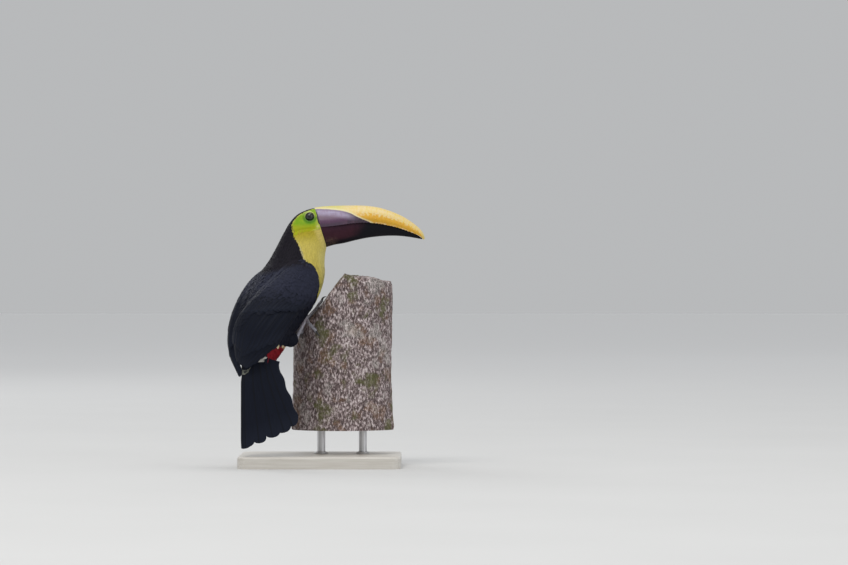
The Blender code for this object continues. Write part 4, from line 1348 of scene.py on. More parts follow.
@dataclass
class Perch:
    """Short cut length of trunk with rough bark, a sawn foot and a broken, sloping top."""

    centre: Pair = (31.6 * MM, 25.4 * MM)
    radius: float = 72 * MM
    bottom: float = 54 * MM
    rim_low: float = 208 * MM
    rim_high: float = 284 * MM
    slope: tuple[float, float] = (-24 * MM, 37 * MM)
    crown_fall: float = 0.14
    foothold: Colour = (-18 * MM, -8 * MM, 214 * MM)
    around: int = 300

    def top(self, x: Array, y: Array) -> Array:
        """Height of the broken top: a ledge, a slope, then a falling crown with a slow ripple."""
        rise = np.clip((x - self.slope[0]) / (self.slope[1] - self.slope[0]), 0, 1)
        rise = rise * (1 - 0.18 * (1 - rise) * (0.5 - rise))
        crown = self.crown_fall * np.maximum(x - self.slope[1], 0)
        ripple = 1.6 * MM * np.sin(x / (9 * MM) + y / (21 * MM)) * rise
        rear = 0.10 * np.maximum(y - self.centre[1], 0) * rise
        return self.rim_low + (self.rim_high - self.rim_low) * rise - crown - rear + ripple

    def reach(self, angle: Array, height: Array) -> Array:
        """Radius of the bark: a round trunk with slow swells, widening downwards."""
        swell = 1.6 * MM * np.cos(3 * angle + 0.6) + 1.0 * MM * np.cos(5 * angle + height * 24)
        foot = 3.0 * MM * (1 - np.clip((height - self.bottom) / (90 * MM), 0, 1)) ** 2
        near_feet = np.exp(-((angle + math.radians(180 - BODY.heading)) / 0.6) ** 2)
        return self.radius + swell * (1 - near_feet) + foot

    def relief(self, spots: Array) -> Array:
        """Depth of the bark: knobs, flecks drawn out along a slant, and narrow cracks."""
        slant = spots @ np.array([[0.8, 0.0, 0.6], [0.0, 1.0, 0.0], [-0.6, 0.0, 0.8]]) * [1.6, 1.6, 0.6]
        knobs = 0.8 * waves(spots, 26 * MM, 3) + 0.45 * waves(slant, 9 * MM, 4) + 0.3 * waves(slant, 4.2 * MM, 5)
        crack = np.abs(waves(spots * [1.0, 1.0, 0.45], 30 * MM, 6))
        depth = 1.0 + 0.8 * knobs - 1.6 * np.exp(-(crack / 0.09) ** 2)
        held = smooth(-np.linalg.norm(spots - np.array(self.foothold), axis=-1), -36 * MM, -22 * MM)
        return (depth + (1.45 + 0.25 * waves(slant, 4.2 * MM, 5) - depth) * held) * MM

    def ring(self, radius: Array, angle: Array, height: Array) -> Array:
        """Places round the trunk's axis."""
        x, y = self.centre[0] + radius * np.cos(angle), self.centre[1] + radius * np.sin(angle)
        return np.stack([x, y, height + 0 * angle], -1)

    def build(self, finish: Material) -> Piece:
        """Build the trunk as one closed surface of rings up the side and in across the top."""
        angle = np.linspace(-math.pi, math.pi, self.around, endpoint=False)
        rim = self.top(*self.ring(self.radius, angle, 0.0)[:, :2].T)
        rings = [self.ring(share * self.radius, angle, self.bottom + 0.1 * MM)
                 for share in (0.25, 0.5, 0.75, 0.93)]
        for share in np.linspace(0, 1, 110):
            height = self.bottom + (rim - self.bottom) * share
            radius = self.reach(angle, height)
            ends = smooth(share, 0.0, 0.012) * smooth(1 - share, 0.0, 0.03)
            radius = radius + self.relief(self.ring(radius, angle, height)) * ends
            radius = radius - 1.2 * MM * (1 - smooth(1 - share, 0.0, 0.04))
            rings.append(self.ring(radius, angle, height + 0.1 * MM * (share == 0)))
        for share in np.concatenate([[0.975], np.linspace(0.95, 0.03, 42)]):
            spots = self.ring(radius * share, angle, 0.0)
            spots[:, 2] = self.top(*spots[:, :2].T)
            splinter = 0.7 * MM * waves(spots * [2.2, 0.5, 1.0], 16 * MM, 8) * smooth(1 - share, 0.02, 0.2)
            rings.append(spots + [0, 0, 1] * (self.relief(spots) + splinter)[:, None])
        mesh = loft("perch_bark", np.stack(rings), 60)
        return add_piece("perch_bark", mesh, finish, "bark", ["perch_trunk"])

    def steepness(self, x: float, y: float) -> float:
        """Slope of the broken top along X."""
        return (self.top(x + MM, y) - self.top(x - MM, y)) / (2 * MM)

    def on_top(self, x: float, y: float, lift: float) -> Array:
        """Place a lift off the broken top (mm in, metres out)."""
        x, y = x * MM, y * MM
        return np.array([x, y, self.top(x, y) + lift * math.hypot(1, self.steepness(x, y))])

    def on_side(self, angle: float, height: float, lift: float) -> Array:
        """Place a lift off the bark's side, from degrees round the trunk and a height in mm."""
        angle, height = math.radians(angle), height * MM
        return self.ring(self.reach(angle, height) + lift, angle, height)


PERCH = Perch()


# ---------------------------------------------------------------- legs and skin

Toe = tuple[tuple[str, float, float], ...]


@dataclass(frozen=True)
class Leg:
    """One leg: its ball of the foot and four toes, as places on the trunk's top or side."""

    side: Side
    pad: Pair
    toes: tuple[Toe, ...]
    tarsus: float = 2.4 * MM
    toe: float = 2.2 * MM
    ball: float = 3.9 * MM
    clear: float = 1.5 * MM
    solid_toe: float = 2.2 * MM

    def spot(self, kind: str, one: float, two: float, lift: float) -> Array:
        """World place of a point of a toe."""
        return PERCH.on_top(one, two, lift) if kind == "top" else PERCH.on_side(one, two, lift)

    def routes(self) -> list[Array]:
        """Middle lines of the toes, from the ball of the foot to the claw."""
        lift = self.solid_toe + self.clear
        ball = PERCH.on_top(*self.pad, 3.8 * MM + self.clear)
        return [np.array([ball, *(self.spot(*place, lift) for place in toe)]) for toe in self.toes]

    def scutes(self, number: float, depth: float, pads: float, share: Array, angle: Array) -> Array:
        """Relief of saw-tooth plates where the angle's cosine is plus, and slow swells where it is minus.

        Args:
            number: plates along the length.
            depth: step at each plate's edge, as a share of the radius.
            pads: swell of the pads underneath, as a share of the radius.
            share: share of the length.
            angle: angle from the top.

        Returns:
            Growth of the radius, as a share of it.
        """
        over, below = np.clip(np.cos(angle), 0, 1) ** 0.5, np.clip(-np.cos(angle), 0, 1)
        plate = (share * number) % 1
        return (depth * (plate - 0.5) * over + pads * (0.35 + np.abs(np.sin(share * math.pi * 2.5))) * below
                + 0.10 * np.cos(share * math.pi * 5) * (1 - below))

    def keel(self, share: Array, angle: Array) -> Array:
        """Relief that draws in a claw's sides."""
        return -0.22 * np.sin(angle) ** 2 + 0 * share

    def meshes(self) -> list[Mesh]:
        """Closed meshes of the tarsus, the ball of the foot and the toes."""
        form = ThighForm(self.side)
        heel = form.joint(form.heel)
        ball = PERCH.on_top(*self.pad, 3.8 * MM + self.clear)
        start = heel + (heel - ball) * 0.08
        bend = (heel + ball) / 2 + [0, 0, 0.4 * MM]
        shank = tube_rings(np.array([start, heel, bend, ball]),
                           np.array([1.3, 1.35, 1.0, 1.25]) * self.tarsus, 90, 28,
                           partial(self.scutes, 13, 0.10, 0.08))
        made = [loft(f"shank_{self.side.word}", shank, 40)]
        angle, turn = grid(np.linspace(0, math.pi, 15)[1:-1], np.linspace(0, 2 * math.pi, 28, endpoint=False))
        sphere = np.stack([np.sin(angle) * np.cos(turn), np.sin(angle) * np.sin(turn), np.cos(angle)], -1)
        made.append(loft(f"ball_{self.side.word}", ball + sphere * self.ball * [1.05, 1.05, 1.12]))
        for number, route in enumerate(self.routes(), 1):
            line = np.vstack([[route[0] * 0.75 + route[1] * 0.25], route[1:]])
            radii = np.linspace(1.12, 0.86, len(line)) * self.toe
            plates = 11 if len(line) > 3 else 8
            rings = tube_rings(line, radii, 72, 24, partial(self.scutes, plates, 0.12, 0.22))
            middle, end = rings.mean(1, keepdims=True), np.clip(np.linspace(0, 1, 72) - 0.93, 0, 1) / 0.07
            rings = middle + (rings - middle) * np.sqrt(1 - 0.9 * end ** 2)[:, None, None]
            made.append(loft(f"toe_{self.side.word}_{number}", rings, 40))
        return made

    def build_claws(self, finish: Material) -> None:
        """Build each claw as a tapering tube that curves down towards the bark."""
        bend = np.array([(0.0, 0.0), (2.6, 0.75), (5.4, 0.55), (7.8, -0.9), (9.2, -2.9)]) * MM
        radii = np.array([1.0, 0.86, 0.62, 0.34, 0.07]) * 1.85 * MM
        for number, (toe, route) in enumerate(zip(self.toes, self.routes()), 1):
            ahead = route[-1] - route[-2]
            ahead /= np.linalg.norm(ahead)
            start = route[-1] - ahead * 1.2 * MM
            outward = np.array([start[0] - PERCH.centre[0], start[1] - PERCH.centre[1], 0.0])
            if toe[-1][0] == "top":
                outward = np.array([-PERCH.steepness(start[0], start[1]), 0, 1])
            outward /= np.linalg.norm(outward)
            line = start + bend[:, :1] * ahead + bend[:, 1:] * outward
            name = f"claw_{self.side.word}_{number}"
            mesh = loft(f"{name}_horn", tube_rings(line, radii, 30, 18, self.keel))
            add_piece(mesh.name, mesh, finish, "claw", [name])


LEGS = (
    Leg(Side.RIGHT, (-20.5, -26.5), (
        (("top", -13, -22), ("top", -5, -15.5), ("top", 3, -10)),
        (("top", -16.5, -18.5), ("top", -11, -10)),
        (("side", -128, 212), ("side", -122.5, 206), ("side", -118.5, 200)),
        (("side", -139, 210), ("side", -140.5, 203), ("side", -140.5, 197)))),
    Leg(Side.LEFT, (-33.5, -12.5), (
        (("top", -28, -3), ("top", -22, 6), ("top", -17, 15)),
        (("top", -25.5, -7.5), ("top", -18, -2.5)),
        (("side", -156, 210.5), ("side", -162, 206), ("side", -168, 200)),
        (("side", -152, 206), ("side", -153, 200)))))


@dataclass
class Skin:
    """The one skin of head, neck, trunk, thighs and legs, inside the coat's outline."""

    body_rings: int = 44
    coat: float = 3.6 * MM              # depth of the coat over the body
    crown_coat: float = 1.3 * MM
    bare_coat: float = 0.25 * MM
    opening: float = 6.4 * MM           # from the eye's axis to the edge of the lids
    lid: float = 0.9 * MM               # thickness of the lids
    orbit: float = 11.5 * MM            # where the lids have run out into the face

    def depth(self, section: Array, turn: Array) -> Array:
        """Depth of the coat: shallow on the face, growing down the neck to its full depth."""
        full = self.crown_coat + (self.coat - self.crown_coat) * smooth(section, 2.0, 6.5)
        bare = smooth(face_edge(section, turn), -4.0, 5.0)
        return full + (self.bare_coat - full) * bare

    def lids(self, places: Array) -> Array:
        """Draw the skin over the eyeballs: a lid's thickness outside them, and under them in the opening.

        Args:
            places: the head's skin.

        Returns:
            The same places, moved in or out along Y near the eyes: the eyeball's circle plus the lid,
            blended into the face by a smooth step, with two faint folds.
        """
        low, high = (np.array(corner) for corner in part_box("eye_right"))
        centre, radius = (low + high) / 2, (high - low)[0] / 2
        out = np.abs(places[..., 1] - BODY.pivot[1])
        aside = np.hypot((places[..., 0] - EYE_SPOT[0]) / 1.06, (places[..., 2] - EYE_SPOT[1]) / 0.95)
        ball = abs(centre[1] - BODY.pivot[1]) + np.sqrt(radius ** 2 - np.minimum(aside, 0.88 * radius) ** 2)
        lid = ball - self.lid + 2 * self.lid * smooth(aside, self.opening - 0.35 * MM, self.opening + 0.45 * MM)
        fold = 0.16 * MM * np.cos(aside * 2 * math.pi / (1.9 * MM)) * smooth(aside, 7.4 * MM, 8.2 * MM)
        moved = lid + (out - lid) * smooth(aside, 0.92 * radius, self.orbit)
        moved = moved + fold * smooth(-aside, -13 * MM, -10 * MM)
        moved = np.where(aside < 14 * MM, moved, out)
        return np.stack([places[..., 0], BODY.pivot[1] + np.sign(places[..., 1] - BODY.pivot[1]) * moved,
                         places[..., 2]], -1)

    def body_mesh(self) -> Mesh:
        """Closed mesh of the skin over head, neck and trunk."""
        stops = ((0.0, 0.35, 9), (0.35, 1.5, 62), (1.5, 3.45, 36), (3.45, BODY.skin_end, self.body_rings))
        section = np.concatenate([[0.0], *(np.linspace(*stop)[1:] for stop in stops)])
        half = np.concatenate([np.linspace(*stop)[:-1] for stop in ((0, 22, 10), (22, 74, 52), (74, 180, 26))])
        turn = np.concatenate([[-180.0], -half[:0:-1], half])
        sides = len(turn)
        section, turn = grid(section, turn)
        depth = self.depth(section, turn)
        places = BODY.place(section, turn, -depth)
        bare = smooth(face_edge(section, turn), 0, 8) * smooth(section, 0.15, 0.5)
        wrinkle = 0.10 * MM * waves(places * [1, 1, 2.2], 3.4 * MM, 21) * bare
        rings = BODY.place(section, turn, -depth + wrinkle)
        rings = np.where(((section < 3.4) & (np.abs(turn) < 120))[..., None], self.lids(rings), rings)
        cone = np.stack([VENT.place(np.full(sides, level), turn[0], -2.2 * MM * (1 - 0.1 * level))
                         for level in (0.25, 1.0, 2.0, 2.9)])
        cone_lie = np.stack([np.full((4, sides), 11.9),
                             np.broadcast_to(150.0 * np.sign(turn[0] + 0.1), (4, sides))], -1)
        mesh = loft("skin", np.concatenate([rings, cone]), 60)
        lie = np.concatenate([np.stack([section, turn], -1), cone_lie]).reshape(-1, 2)
        lie = np.vstack([lie, [0.0, 60.0], [11.9, 150.0]])
        set_corners(mesh, np.column_stack([lie, np.full(len(lie), 0.5)]))
        return mesh

    def thigh_mesh(self, side: Side) -> Mesh:
        """Closed mesh of one thigh, under its feathers."""
        along, turn = grid(np.linspace(0.06, 0.84, 20), np.linspace(0, 360, 28, endpoint=False))
        rings = ThighForm(side).place(along, turn, np.full(along.shape, -2.6 * MM))
        return loft(f"thigh_{side.word}_skin", rings)

    def build(self, face: Material, scales: Material) -> Piece:
        """Join body, thighs and legs into one closed skin with exact unions.

        Args:
            face: material of the body.
            scales: material of the legs.

        Returns:
            The skin.
        """
        extras = [(self.thigh_mesh(side), 0) for side in Side]
        extras += [(mesh, 1) for leg in LEGS for mesh in leg.meshes()]
        parts = bpy.data.collections.new("skin_parts")
        for mesh, slot in extras:
            set_corners(mesh, np.tile([9.5, 120.0, 0.5], (len(mesh.vertices), 1)))
            mesh.polygons.foreach_set("material_index", np.full(len(mesh.polygons), slot, np.int32))
            parts.objects.link(bpy.data.objects.new(mesh.name, mesh))
        bpy.context.scene.collection.children.link(parts)
        whole = bpy.data.objects.new("skin", self.body_mesh())
        for made in (whole, *parts.objects):
            made.data.materials.append(face)
            made.data.materials.append(scales)
        bpy.context.scene.collection.objects.link(whole)
        union = whole.modifiers.new("join", "BOOLEAN")
        union.operation, union.solver, union.operand_type = "UNION", "EXACT", "COLLECTION"
        union.collection, union.use_self = parts, False
        graph = bpy.context.evaluated_depsgraph_get()
        mesh = bpy.data.meshes.new_from_object(whole.evaluated_get(graph))
        for part in (*parts.objects, whole):
            bpy.data.objects.remove(part, do_unlink=True)
        bpy.data.collections.remove(parts)
        skin = bpy.data.objects.new("skin", mesh)
        bpy.context.scene.collection.objects.link(skin)
        mesh.name = "skin"
        mesh.shade_smooth()
        mesh.set_sharp_from_angle(angle=math.radians(60))
        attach(skin, "root")
        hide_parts("head", "neck", "trunk", "thigh_left", "thigh_right", "leg_left", "leg_right")
        LOG.info("skin: %d faces", len(mesh.polygons))
        return skin


# ---------------------------------------------------------------- the coat of small feathers

@dataclass(frozen=True)
class Tract:
    """One tract of the body's coat."""

    name: str
    low: Pair                           # lowest section and turn
    high: Pair
    stretch: float                      # length of a feather, in spacings
    stout: float                        # half width of a feather, in spacings
    fine: float = 1.0                   # spacing, as a share of the coat's usual one
    beyond: float = 0.0                 # least degrees from the back
    yellow: bool = False
    vane: Vane = BODY_VANE
    slot: str = "plumage"


TRACTS = (
    Tract("feathers_crown", (0.02, -75), (3.4, 75), 5.2, 1.0, 0.62, vane=SOFT_VANE),
    Tract("feathers_nape", (3.4, -125), (6.4, 125), 6.4, 1.0, 0.70, vane=SOFT_VANE),
    Tract("feathers_mantle", (6.4, -90), (11.2, 90), 5.6, 1.05, 0.82),
    Tract("feathers_belly", (6.4, -180), (11.75, 180), 5.2, 1.15, 0.93, beyond=85),
    Tract("feathers_bib", (0.02, -180), (8.05, 180), 7.4, 0.95, 0.66, yellow=True, vane=SOFT_VANE, slot="bib"))


@dataclass
class Coat:
    """Small feathers over the body, laid tract by tract from the face to the tail."""

    finish: Material
    seed: int = 40

    def under_wing(self, section: Array, turn: Array) -> Array:
        """True well inside either wing's print on the body."""
        line, *edges = np.array(WingForm.edges).T
        hidden = np.zeros(section.shape, bool)
        for sign, edge in ((1, edges[0]), (-1, edges[1])):
            upper, lower = np.interp(section, line, edge) + 12, np.interp(section, line, edges[2]) - 12
            hidden |= (sign * turn > upper) & (sign * turn < lower) & (section > 5.9) & (section < 11.6)
        return hidden

    def spacing(self, fine: float, section: Array, turn: Array) -> Array:
        """Distance between feathers, times fine: least round the face, growing down the back and breast."""
        back = 1.25 * MM + 1.5 * MM * smooth(section, 0.6, 6.5) + 0.9 * MM * smooth(section, 6.5, 9.5)
        return fine * (back - 0.35 * MM * smooth(bib_edge(section, turn), 0, 10) * smooth(section, 3.0, 7.0))

    def wanted(self, tract: Tract, section: Array, turn: Array) -> Array:
        """True where the tract grows: yellow inside the bib, the others outside it and off the wings."""
        inside = bib_edge(section, turn)
        if tract.yellow:
            return (inside >= 0) & (face_edge(section, turn) < 1.5)
        return (inside < -1.1) & ~self.under_wing(section, turn) & (np.abs(turn) >= tract.beyond)

    def lay_tract(self, tract: Tract) -> None:
        """Lay one tract on the body, with shorter feathers along the yellow's border and on the rump."""
        self.seed += 1
        roots, chance = scatter(BODY.place, tract.low, tract.high, partial(self.spacing, tract.fine),
                                partial(self.wanted, tract), self.seed)
        section, turn = roots.T
        gap, depth = self.spacing(tract.fine, section, turn), Skin().depth(section, turn)
        rim = tract.yellow * smooth(-bib_edge(section, turn), -13, -1)
        short = 1 - 0.62 * rim - 0.3 * smooth(section, 9.9, 10.4)
        feathers = grow(BODY.place, roots, chance, gap * tract.stretch * short * (0.85 + 0.3 * chance),
                        gap * tract.stout * (1 - 0.3 * rim), -depth * 0.98,
                        -0.06 * depth - 0.10 * depth * (chance * 5.7 % 1), thick=0.09 * gap.mean() / tract.fine)
        lay(tract.name, BODY.place, feathers, tract.vane, same, body_unwrap, self.finish, tract.slot)

    def build_thighs(self) -> None:
        """Lay the thighs' feathers towards the heel."""
        for side in Side:
            form = ThighForm(side).place
            roots, chance = scatter(form, (0.04, 0), (0.86, 360), partial(even, 2.1 * MM), partial(even, True),
                                    60 + side.value)
            feathers = grow(form, roots, chance, np.full(len(roots), 11 * MM), 1.9 * MM, -2.5 * MM,
                            0.9 * MM * (chance * 5.7 % 1), thick=0.2 * MM)
            feathers.tip[:, 0] = np.minimum(feathers.tip[:, 0], 1.0)
            lay(f"feathers_thigh_{side.word}", form, feathers, BODY_VANE, partial(mapped, (0, 0), (9.5, 120.0)),
                partial(mapped, (1, 1 / 360), (0, 0)), self.finish)

    def build_vent(self) -> None:
        """Lay the soft coverts under the tail's root."""
        roots, chance = scatter(VENT.place, (-0.1, 0), (3.3, 360), partial(even, 2.9 * MM),
                                partial(even, True), 70)
        feathers = grow(VENT.place, roots, chance, np.full(len(roots), 15 * MM), 3.4 * MM, -2.0 * MM, -0.1 * MM,
                        thick=0.2 * MM)
        feathers.tip[:, 0] = np.minimum(feathers.tip[:, 0], 4.1)
        lay("feathers_vent", VENT.place, feathers, BODY_VANE, partial(mapped, (0, 0), (11.6, 150.0)),
            partial(mapped, (1 / 4.5, 1 / 360), (0.2 / 4.5, 0)), self.finish)

    def rump(self, level: Array, turn: Array, proud: Array) -> Array:
        """Surface over the tail's root: the body's at level 0, the tail's outer face at level 1."""
        level, turn, proud = alike(level, turn, proud)
        upper = BODY.place(11.0 + level, turn, proud)
        lower = TAIL.place(turn / 95 * 0.85, -0.12 + 0.27 * level, proud + 0.9 * MM)
        return upper + (lower - upper) * smooth(level, 0.1, 0.75)[..., None]

    def rump_end(self, turn: Array) -> Array:
        """Level at which the rump's coverts end: longest in the middle."""
        return 1.0 - 0.84 * smooth(np.abs(turn), 6, 40)

    def on_rump(self, level: Array, turn: Array) -> Array:
        """True where the rump's coverts have their roots."""
        return level < self.rump_end(turn) - 0.26

    def build_rump(self) -> None:
        """Lay the white coverts over the tail's root."""
        roots, chance = scatter(self.rump, (-0.25, -88), (0.75, 88), partial(even, 3.0 * MM), self.on_rump, 80)
        feathers = grow(self.rump, roots, chance, 18 * MM * (0.9 + 0.2 * chance), 3.8 * MM, -2.2 * MM, 0.3 * MM,
                        thick=0.22 * MM)
        feathers.tip[:, 0] = np.minimum(feathers.tip[:, 0], self.rump_end(feathers.tip[:, 1]))
        lay("feathers_rump", self.rump, feathers, BODY_VANE, partial(mapped, (1.35, 1), (11.35, 0)),
            partial(mapped, (1 / 1.4, 1 / 190), (0.3 / 1.4, 0.5)), self.finish)

    def build(self) -> None:
        """Lay the whole coat."""
        for tract in TRACTS:
            self.lay_tract(tract)
        self.build_thighs()
        self.build_vent()
        self.build_rump()


# ---------------------------------------------------------------- wings and tail

@dataclass(frozen=True)
class QuillRow:
    """A row of like quills, from the lowest one at the wing's lower edge to the top one."""

    name: str
    number: int
    seed: int
    roots: tuple[Pair, Pair]            # along and across of the first root and the last
    tips: tuple[Pair, Pair]
    width: Pair                         # half widths of the first and the last (mm)
    low: Pair                           # heights of their roots (mm)
    high: Pair                          # heights of their tips (mm)
    reach: Spots = ()                   # share of the row, along of the tips there
    drop: Spots = ()                    # share of the row, across of the tips there

    def run(self, ends: tuple, size: float = 1.0) -> Array:
        """Step evenly from the first value to the last, times a size."""
        first, last = np.array(ends, float) * size
        return first + (last - first) * np.linspace(0, 1, self.number).reshape(-1, *[1] * first.ndim)

    def feathers(self, shorter: float) -> Feathers:
        """Make the quills, with small seeded differences.

        Args:
            shorter: share by which a row with a reach of its own is shorter.

        Returns:
            The quills.
        """
        rng, share = np.random.default_rng(self.seed), np.linspace(0, 1, self.number)
        tips = self.run(self.tips) + rng.uniform(-0.004, 0.004, (self.number, 2))
        made = Feathers(self.run(self.roots), tips, self.run(self.width, MM), self.run(self.low, MM),
                        self.run(self.high, MM), rng.uniform(0, 1, self.number), 0.32 * MM, 0.10,
                        1.5 * MM * rng.uniform(-1, 1, self.number))
        if self.reach:
            made.tip[:, 0] = np.interp(share, *np.array(self.reach).T) * shorter
            made.tip[:, 1] = np.interp(share, *np.array(self.drop).T)
        return made


QUILL_ROWS = (
    QuillRow("primaries", 10, 11, ((0.36, 0.97), (0.46, 0.62)), ((0.83, 0.985), (0.90, 0.42)), (6, 6.5),
             (-5.4, -4.4), (-2.6, -0.5),
             ((0, 0.80), (0.11, 0.89), (0.22, 0.95), (0.33, 0.985), (0.45, 1.0), (0.6, 0.99), (1, 0.93)),
             ((0, 0.96), (0.33, 0.75), (0.6, 0.42), (1, 0.08))),
    QuillRow("secondaries", 11, 12, ((0.30, 0.93), (0.34, 0.28)), ((0.69, 0.90), (0.90, 0.11)), (7.5, 8.5),
             (-3.6, -2.6), (-2.0, -0.35)),
    QuillRow("tertials", 5, 13, ((0.26, 0.36), (0.22, 0.07)), ((0.80, 0.32), (0.72, 0.06)), (8.5, 7.5),
             (-2.2, -1.8), (-0.2, 0.3)),
    QuillRow("greater_coverts", 15, 14, ((0.24, 0.97), (0.24, 0.06)), ((0.45, 0.94), (0.52, 0.10)), (5.2, 6.5),
             (-2.4, -1.8), (-0.6, 0.1)))


@dataclass
class Wing:
    """One folded wing: a thin core, tracts of coverts, and stacked quills."""

    form: WingForm
    coverts: Material
    quills: Material

    def name(self, part: str) -> str:
        """Name of one of the wing's pieces."""
        return f"wing_{self.form.side.word}_{part}"

    def lie(self, roots: Array) -> Array:
        """Body section and turn of places on the wing, kept to those of the back, so the wing's bend takes the
        shoulders' painted light.
        """
        return np.stack([np.clip(self.form.section(roots[:, 0]), 6.8, 10.0), 0 * roots[:, 1]], -1)

    def build_core(self) -> None:
        """Build the closed slab that the feathers lie on."""
        along, across = grid(np.linspace(0.03, 0.93, 60), np.linspace(0.06, 0.94, 24))
        top = self.form.place(along, across, np.full(along.shape, -3.0 * MM) * smooth(along, 0.0, 0.12))
        under = BODY.place(self.form.section(along), self.form.turn(along, across), self.form.rest(along))
        mesh = slab(self.name("core"), top, under, 60)
        set_attribute(mesh, "vane", np.tile([0.5, 0.4, 0.5], (len(mesh.vertices), 1)))
        add_piece(mesh.name, mesh, self.quills, "plumage", [f"wing_{self.form.side.word}"])

    def build_quills(self) -> None:
        """Lay primaries, secondaries, tertials and greater coverts, each over the one before."""
        for row in QUILL_ROWS:
            feathers = row.feathers(0.957 if self.form.side is Side.RIGHT else 1.0)
            lay(self.name(row.name), self.form.place, feathers, QUILL_VANE, self.lie,
                partial(np.clip, a_min=0, a_max=1), self.quills, strips=True)

    def covert_spacing(self, along: Array, across: Array) -> Array:
        """Distance between coverts, growing from the bend back."""
        return 2.1 * MM + 2.6 * MM * smooth(along, 0.03, 0.48)

    def on_coverts(self, along: Array, across: Array) -> Array:
        """True where coverts grow, as far back as the greater ones' roots."""
        return along < 0.47 - 0.10 * np.abs(across - 0.35)

    def build_coverts(self) -> None:
        """Lay the small coverts from the bend back, growing as they go."""
        form = self.form.place
        roots, chance = scatter(form, (0.0, 0.02), (0.5, 0.98), self.covert_spacing, self.on_coverts,
                                90 + self.form.side.value)
        gap = self.covert_spacing(*roots.T)
        feathers = grow(form, roots, chance, gap * 4.3 * (0.9 + 0.2 * chance), gap * 1.15, -1.8 * MM,
                        -0.1 * MM - (chance * 5.7 % 1) * 0.35 * MM, thick=0.3 * MM)
        lay(self.name("coverts"), form, feathers, BODY_VANE, self.lie, partial(mapped, (1.9, 1.0), (0, 0)),
            self.coverts)

    def beyond(self, section: Array, turn: Array) -> tuple[Array, Array]:
        """Share of the wing's length, and degrees by which a place lies beyond the wing's upper edge."""
        along = np.maximum((section - self.form.start) / (self.form.tip - self.form.start), 0)
        return along, self.form.side.value * (turn - self.form.turn(along, 0.0))

    def shoulder(self, section: Array, turn: Array, proud: Array) -> Array:
        """Surface from the mantle up over the wing's upper edge: the body's, raised by the wing's height."""
        section, turn, proud = alike(section, turn, proud)
        along, beyond = self.beyond(section, turn)
        width = np.abs(self.form.turn(along, 1.0) - self.form.turn(along, 0.0))
        height = self.form.rest(along) + self.form.depth(along, np.clip(beyond / width, 0, 0.5))
        return BODY.place(section, turn, proud + height * smooth(beyond, -18, 3))

    def scapular_spacing(self, section: Array, turn: Array) -> Array:
        """Distance between scapulars, growing down the back."""
        return 1.7 * MM + 1.0 * MM * smooth(section, 5.4, 7.5)

    def over_edge(self, section: Array, turn: Array) -> Array:
        """True in a strip along the wing's upper edge, outside the yellow."""
        beyond = self.beyond(section, turn)[1]
        return (beyond > -13) & (beyond < 22) & (bib_edge(section, turn) < -5)

    def build_scapulars(self) -> None:
        """Lay the feathers that close the step between the mantle and the wing."""
        sign = self.form.side.value
        first, last = sorted((-12 * sign, 100 * sign))
        roots, chance = scatter(self.shoulder, (5.35, first), (9.6, last), self.scapular_spacing, self.over_edge,
                                100 + sign)
        length = 9 * MM + 6 * MM * smooth(roots[:, 0], 5.4, 7.5)
        feathers = grow(self.shoulder, roots, chance, length * (0.9 + 0.2 * chance), 0.19 * length, -2.4 * MM,
                        0.5 * MM - 0.4 * MM * (chance * 5.7 % 1), thick=0.25 * MM)
        lay(self.name("scapulars"), self.shoulder, feathers, BODY_VANE, same, body_unwrap, self.coverts)

    def build(self) -> None:
        """Build the whole wing."""
        self.build_core()
        self.build_quills()
        self.build_coverts()
        self.build_scapulars()


@dataclass
class Tail:
    """Ten tail quills in a tent, the middle pair on top."""

    quills: Material
    spans: tuple[float, ...] = (0.10, 0.31, 0.50, 0.68, 0.84)
    half_width: float = 14 * MM

    def build(self) -> None:
        """Lay the quills on the tail's outer face, each outer one under the last."""
        share, order = np.array(self.spans), np.arange(len(self.spans))
        span, order = np.concatenate([-share[::-1], share]), np.concatenate([order[::-1], order])
        span[len(share) - 1] = 0.04     # the middle pair lies one over the other on the ridge
        rng, far = np.random.default_rng(31), np.abs(span)
        root = np.stack([span * (0.94 - 0.10 * span ** 2), -0.04 - 0.22 * far * (1 - far)], -1)
        tip = np.stack([span, 1.0 + rng.uniform(-0.008, 0.004, len(span))], -1)
        low = -0.4 * MM - 0.34 * MM * order
        feathers = Feathers(root, tip, np.full(len(span), self.half_width), low, low + 0.15 * MM,
                            rng.uniform(0, 1, len(span)), 0.34 * MM, 0.03,
                            (1.0 + 4.0 * span ** 2) * MM * np.sign(span))
        lay("tail_quills", TAIL.place, feathers, QUILL_VANE, partial(mapped, (0, 0), (10.3, 0.0)),
            partial(mapped, (0.5, 1), (0.5, 0)), self.quills, strips=True, stands_for=["tail"])


# ---------------------------------------------------------------- eyes and bill

@dataclass
class Eye:
    """One eyeball, turned about its own axis, with a slight dome over the iris."""

    side: Side
    finish: Material

    def build(self) -> Piece:
        """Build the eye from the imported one's box: radius grows by a bell curve near the axis."""
        low, high = (np.array(corner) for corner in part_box(f"eye_{self.side.word}"))
        centre, radius = (low + high) / 2, (high - low)[0] / 2
        angle, turn = grid(np.linspace(0.02, math.pi - 0.02, 64),
                           np.linspace(0, 2 * math.pi, 72, endpoint=False))
        reach = radius * (0.985 + 0.055 * np.exp(-(angle / 0.5) ** 2))
        outward = -self.side.value
        places = np.stack([np.sin(angle) * np.cos(turn), outward * np.cos(angle),
                           np.sin(angle) * np.sin(turn)], -1)
        mesh = loft(f"eye_{self.side.word}_ball", centre + places * reach[..., None], 80)
        return add_piece(mesh.name, mesh, self.finish, "eye", [f"eye_{self.side.word}"])


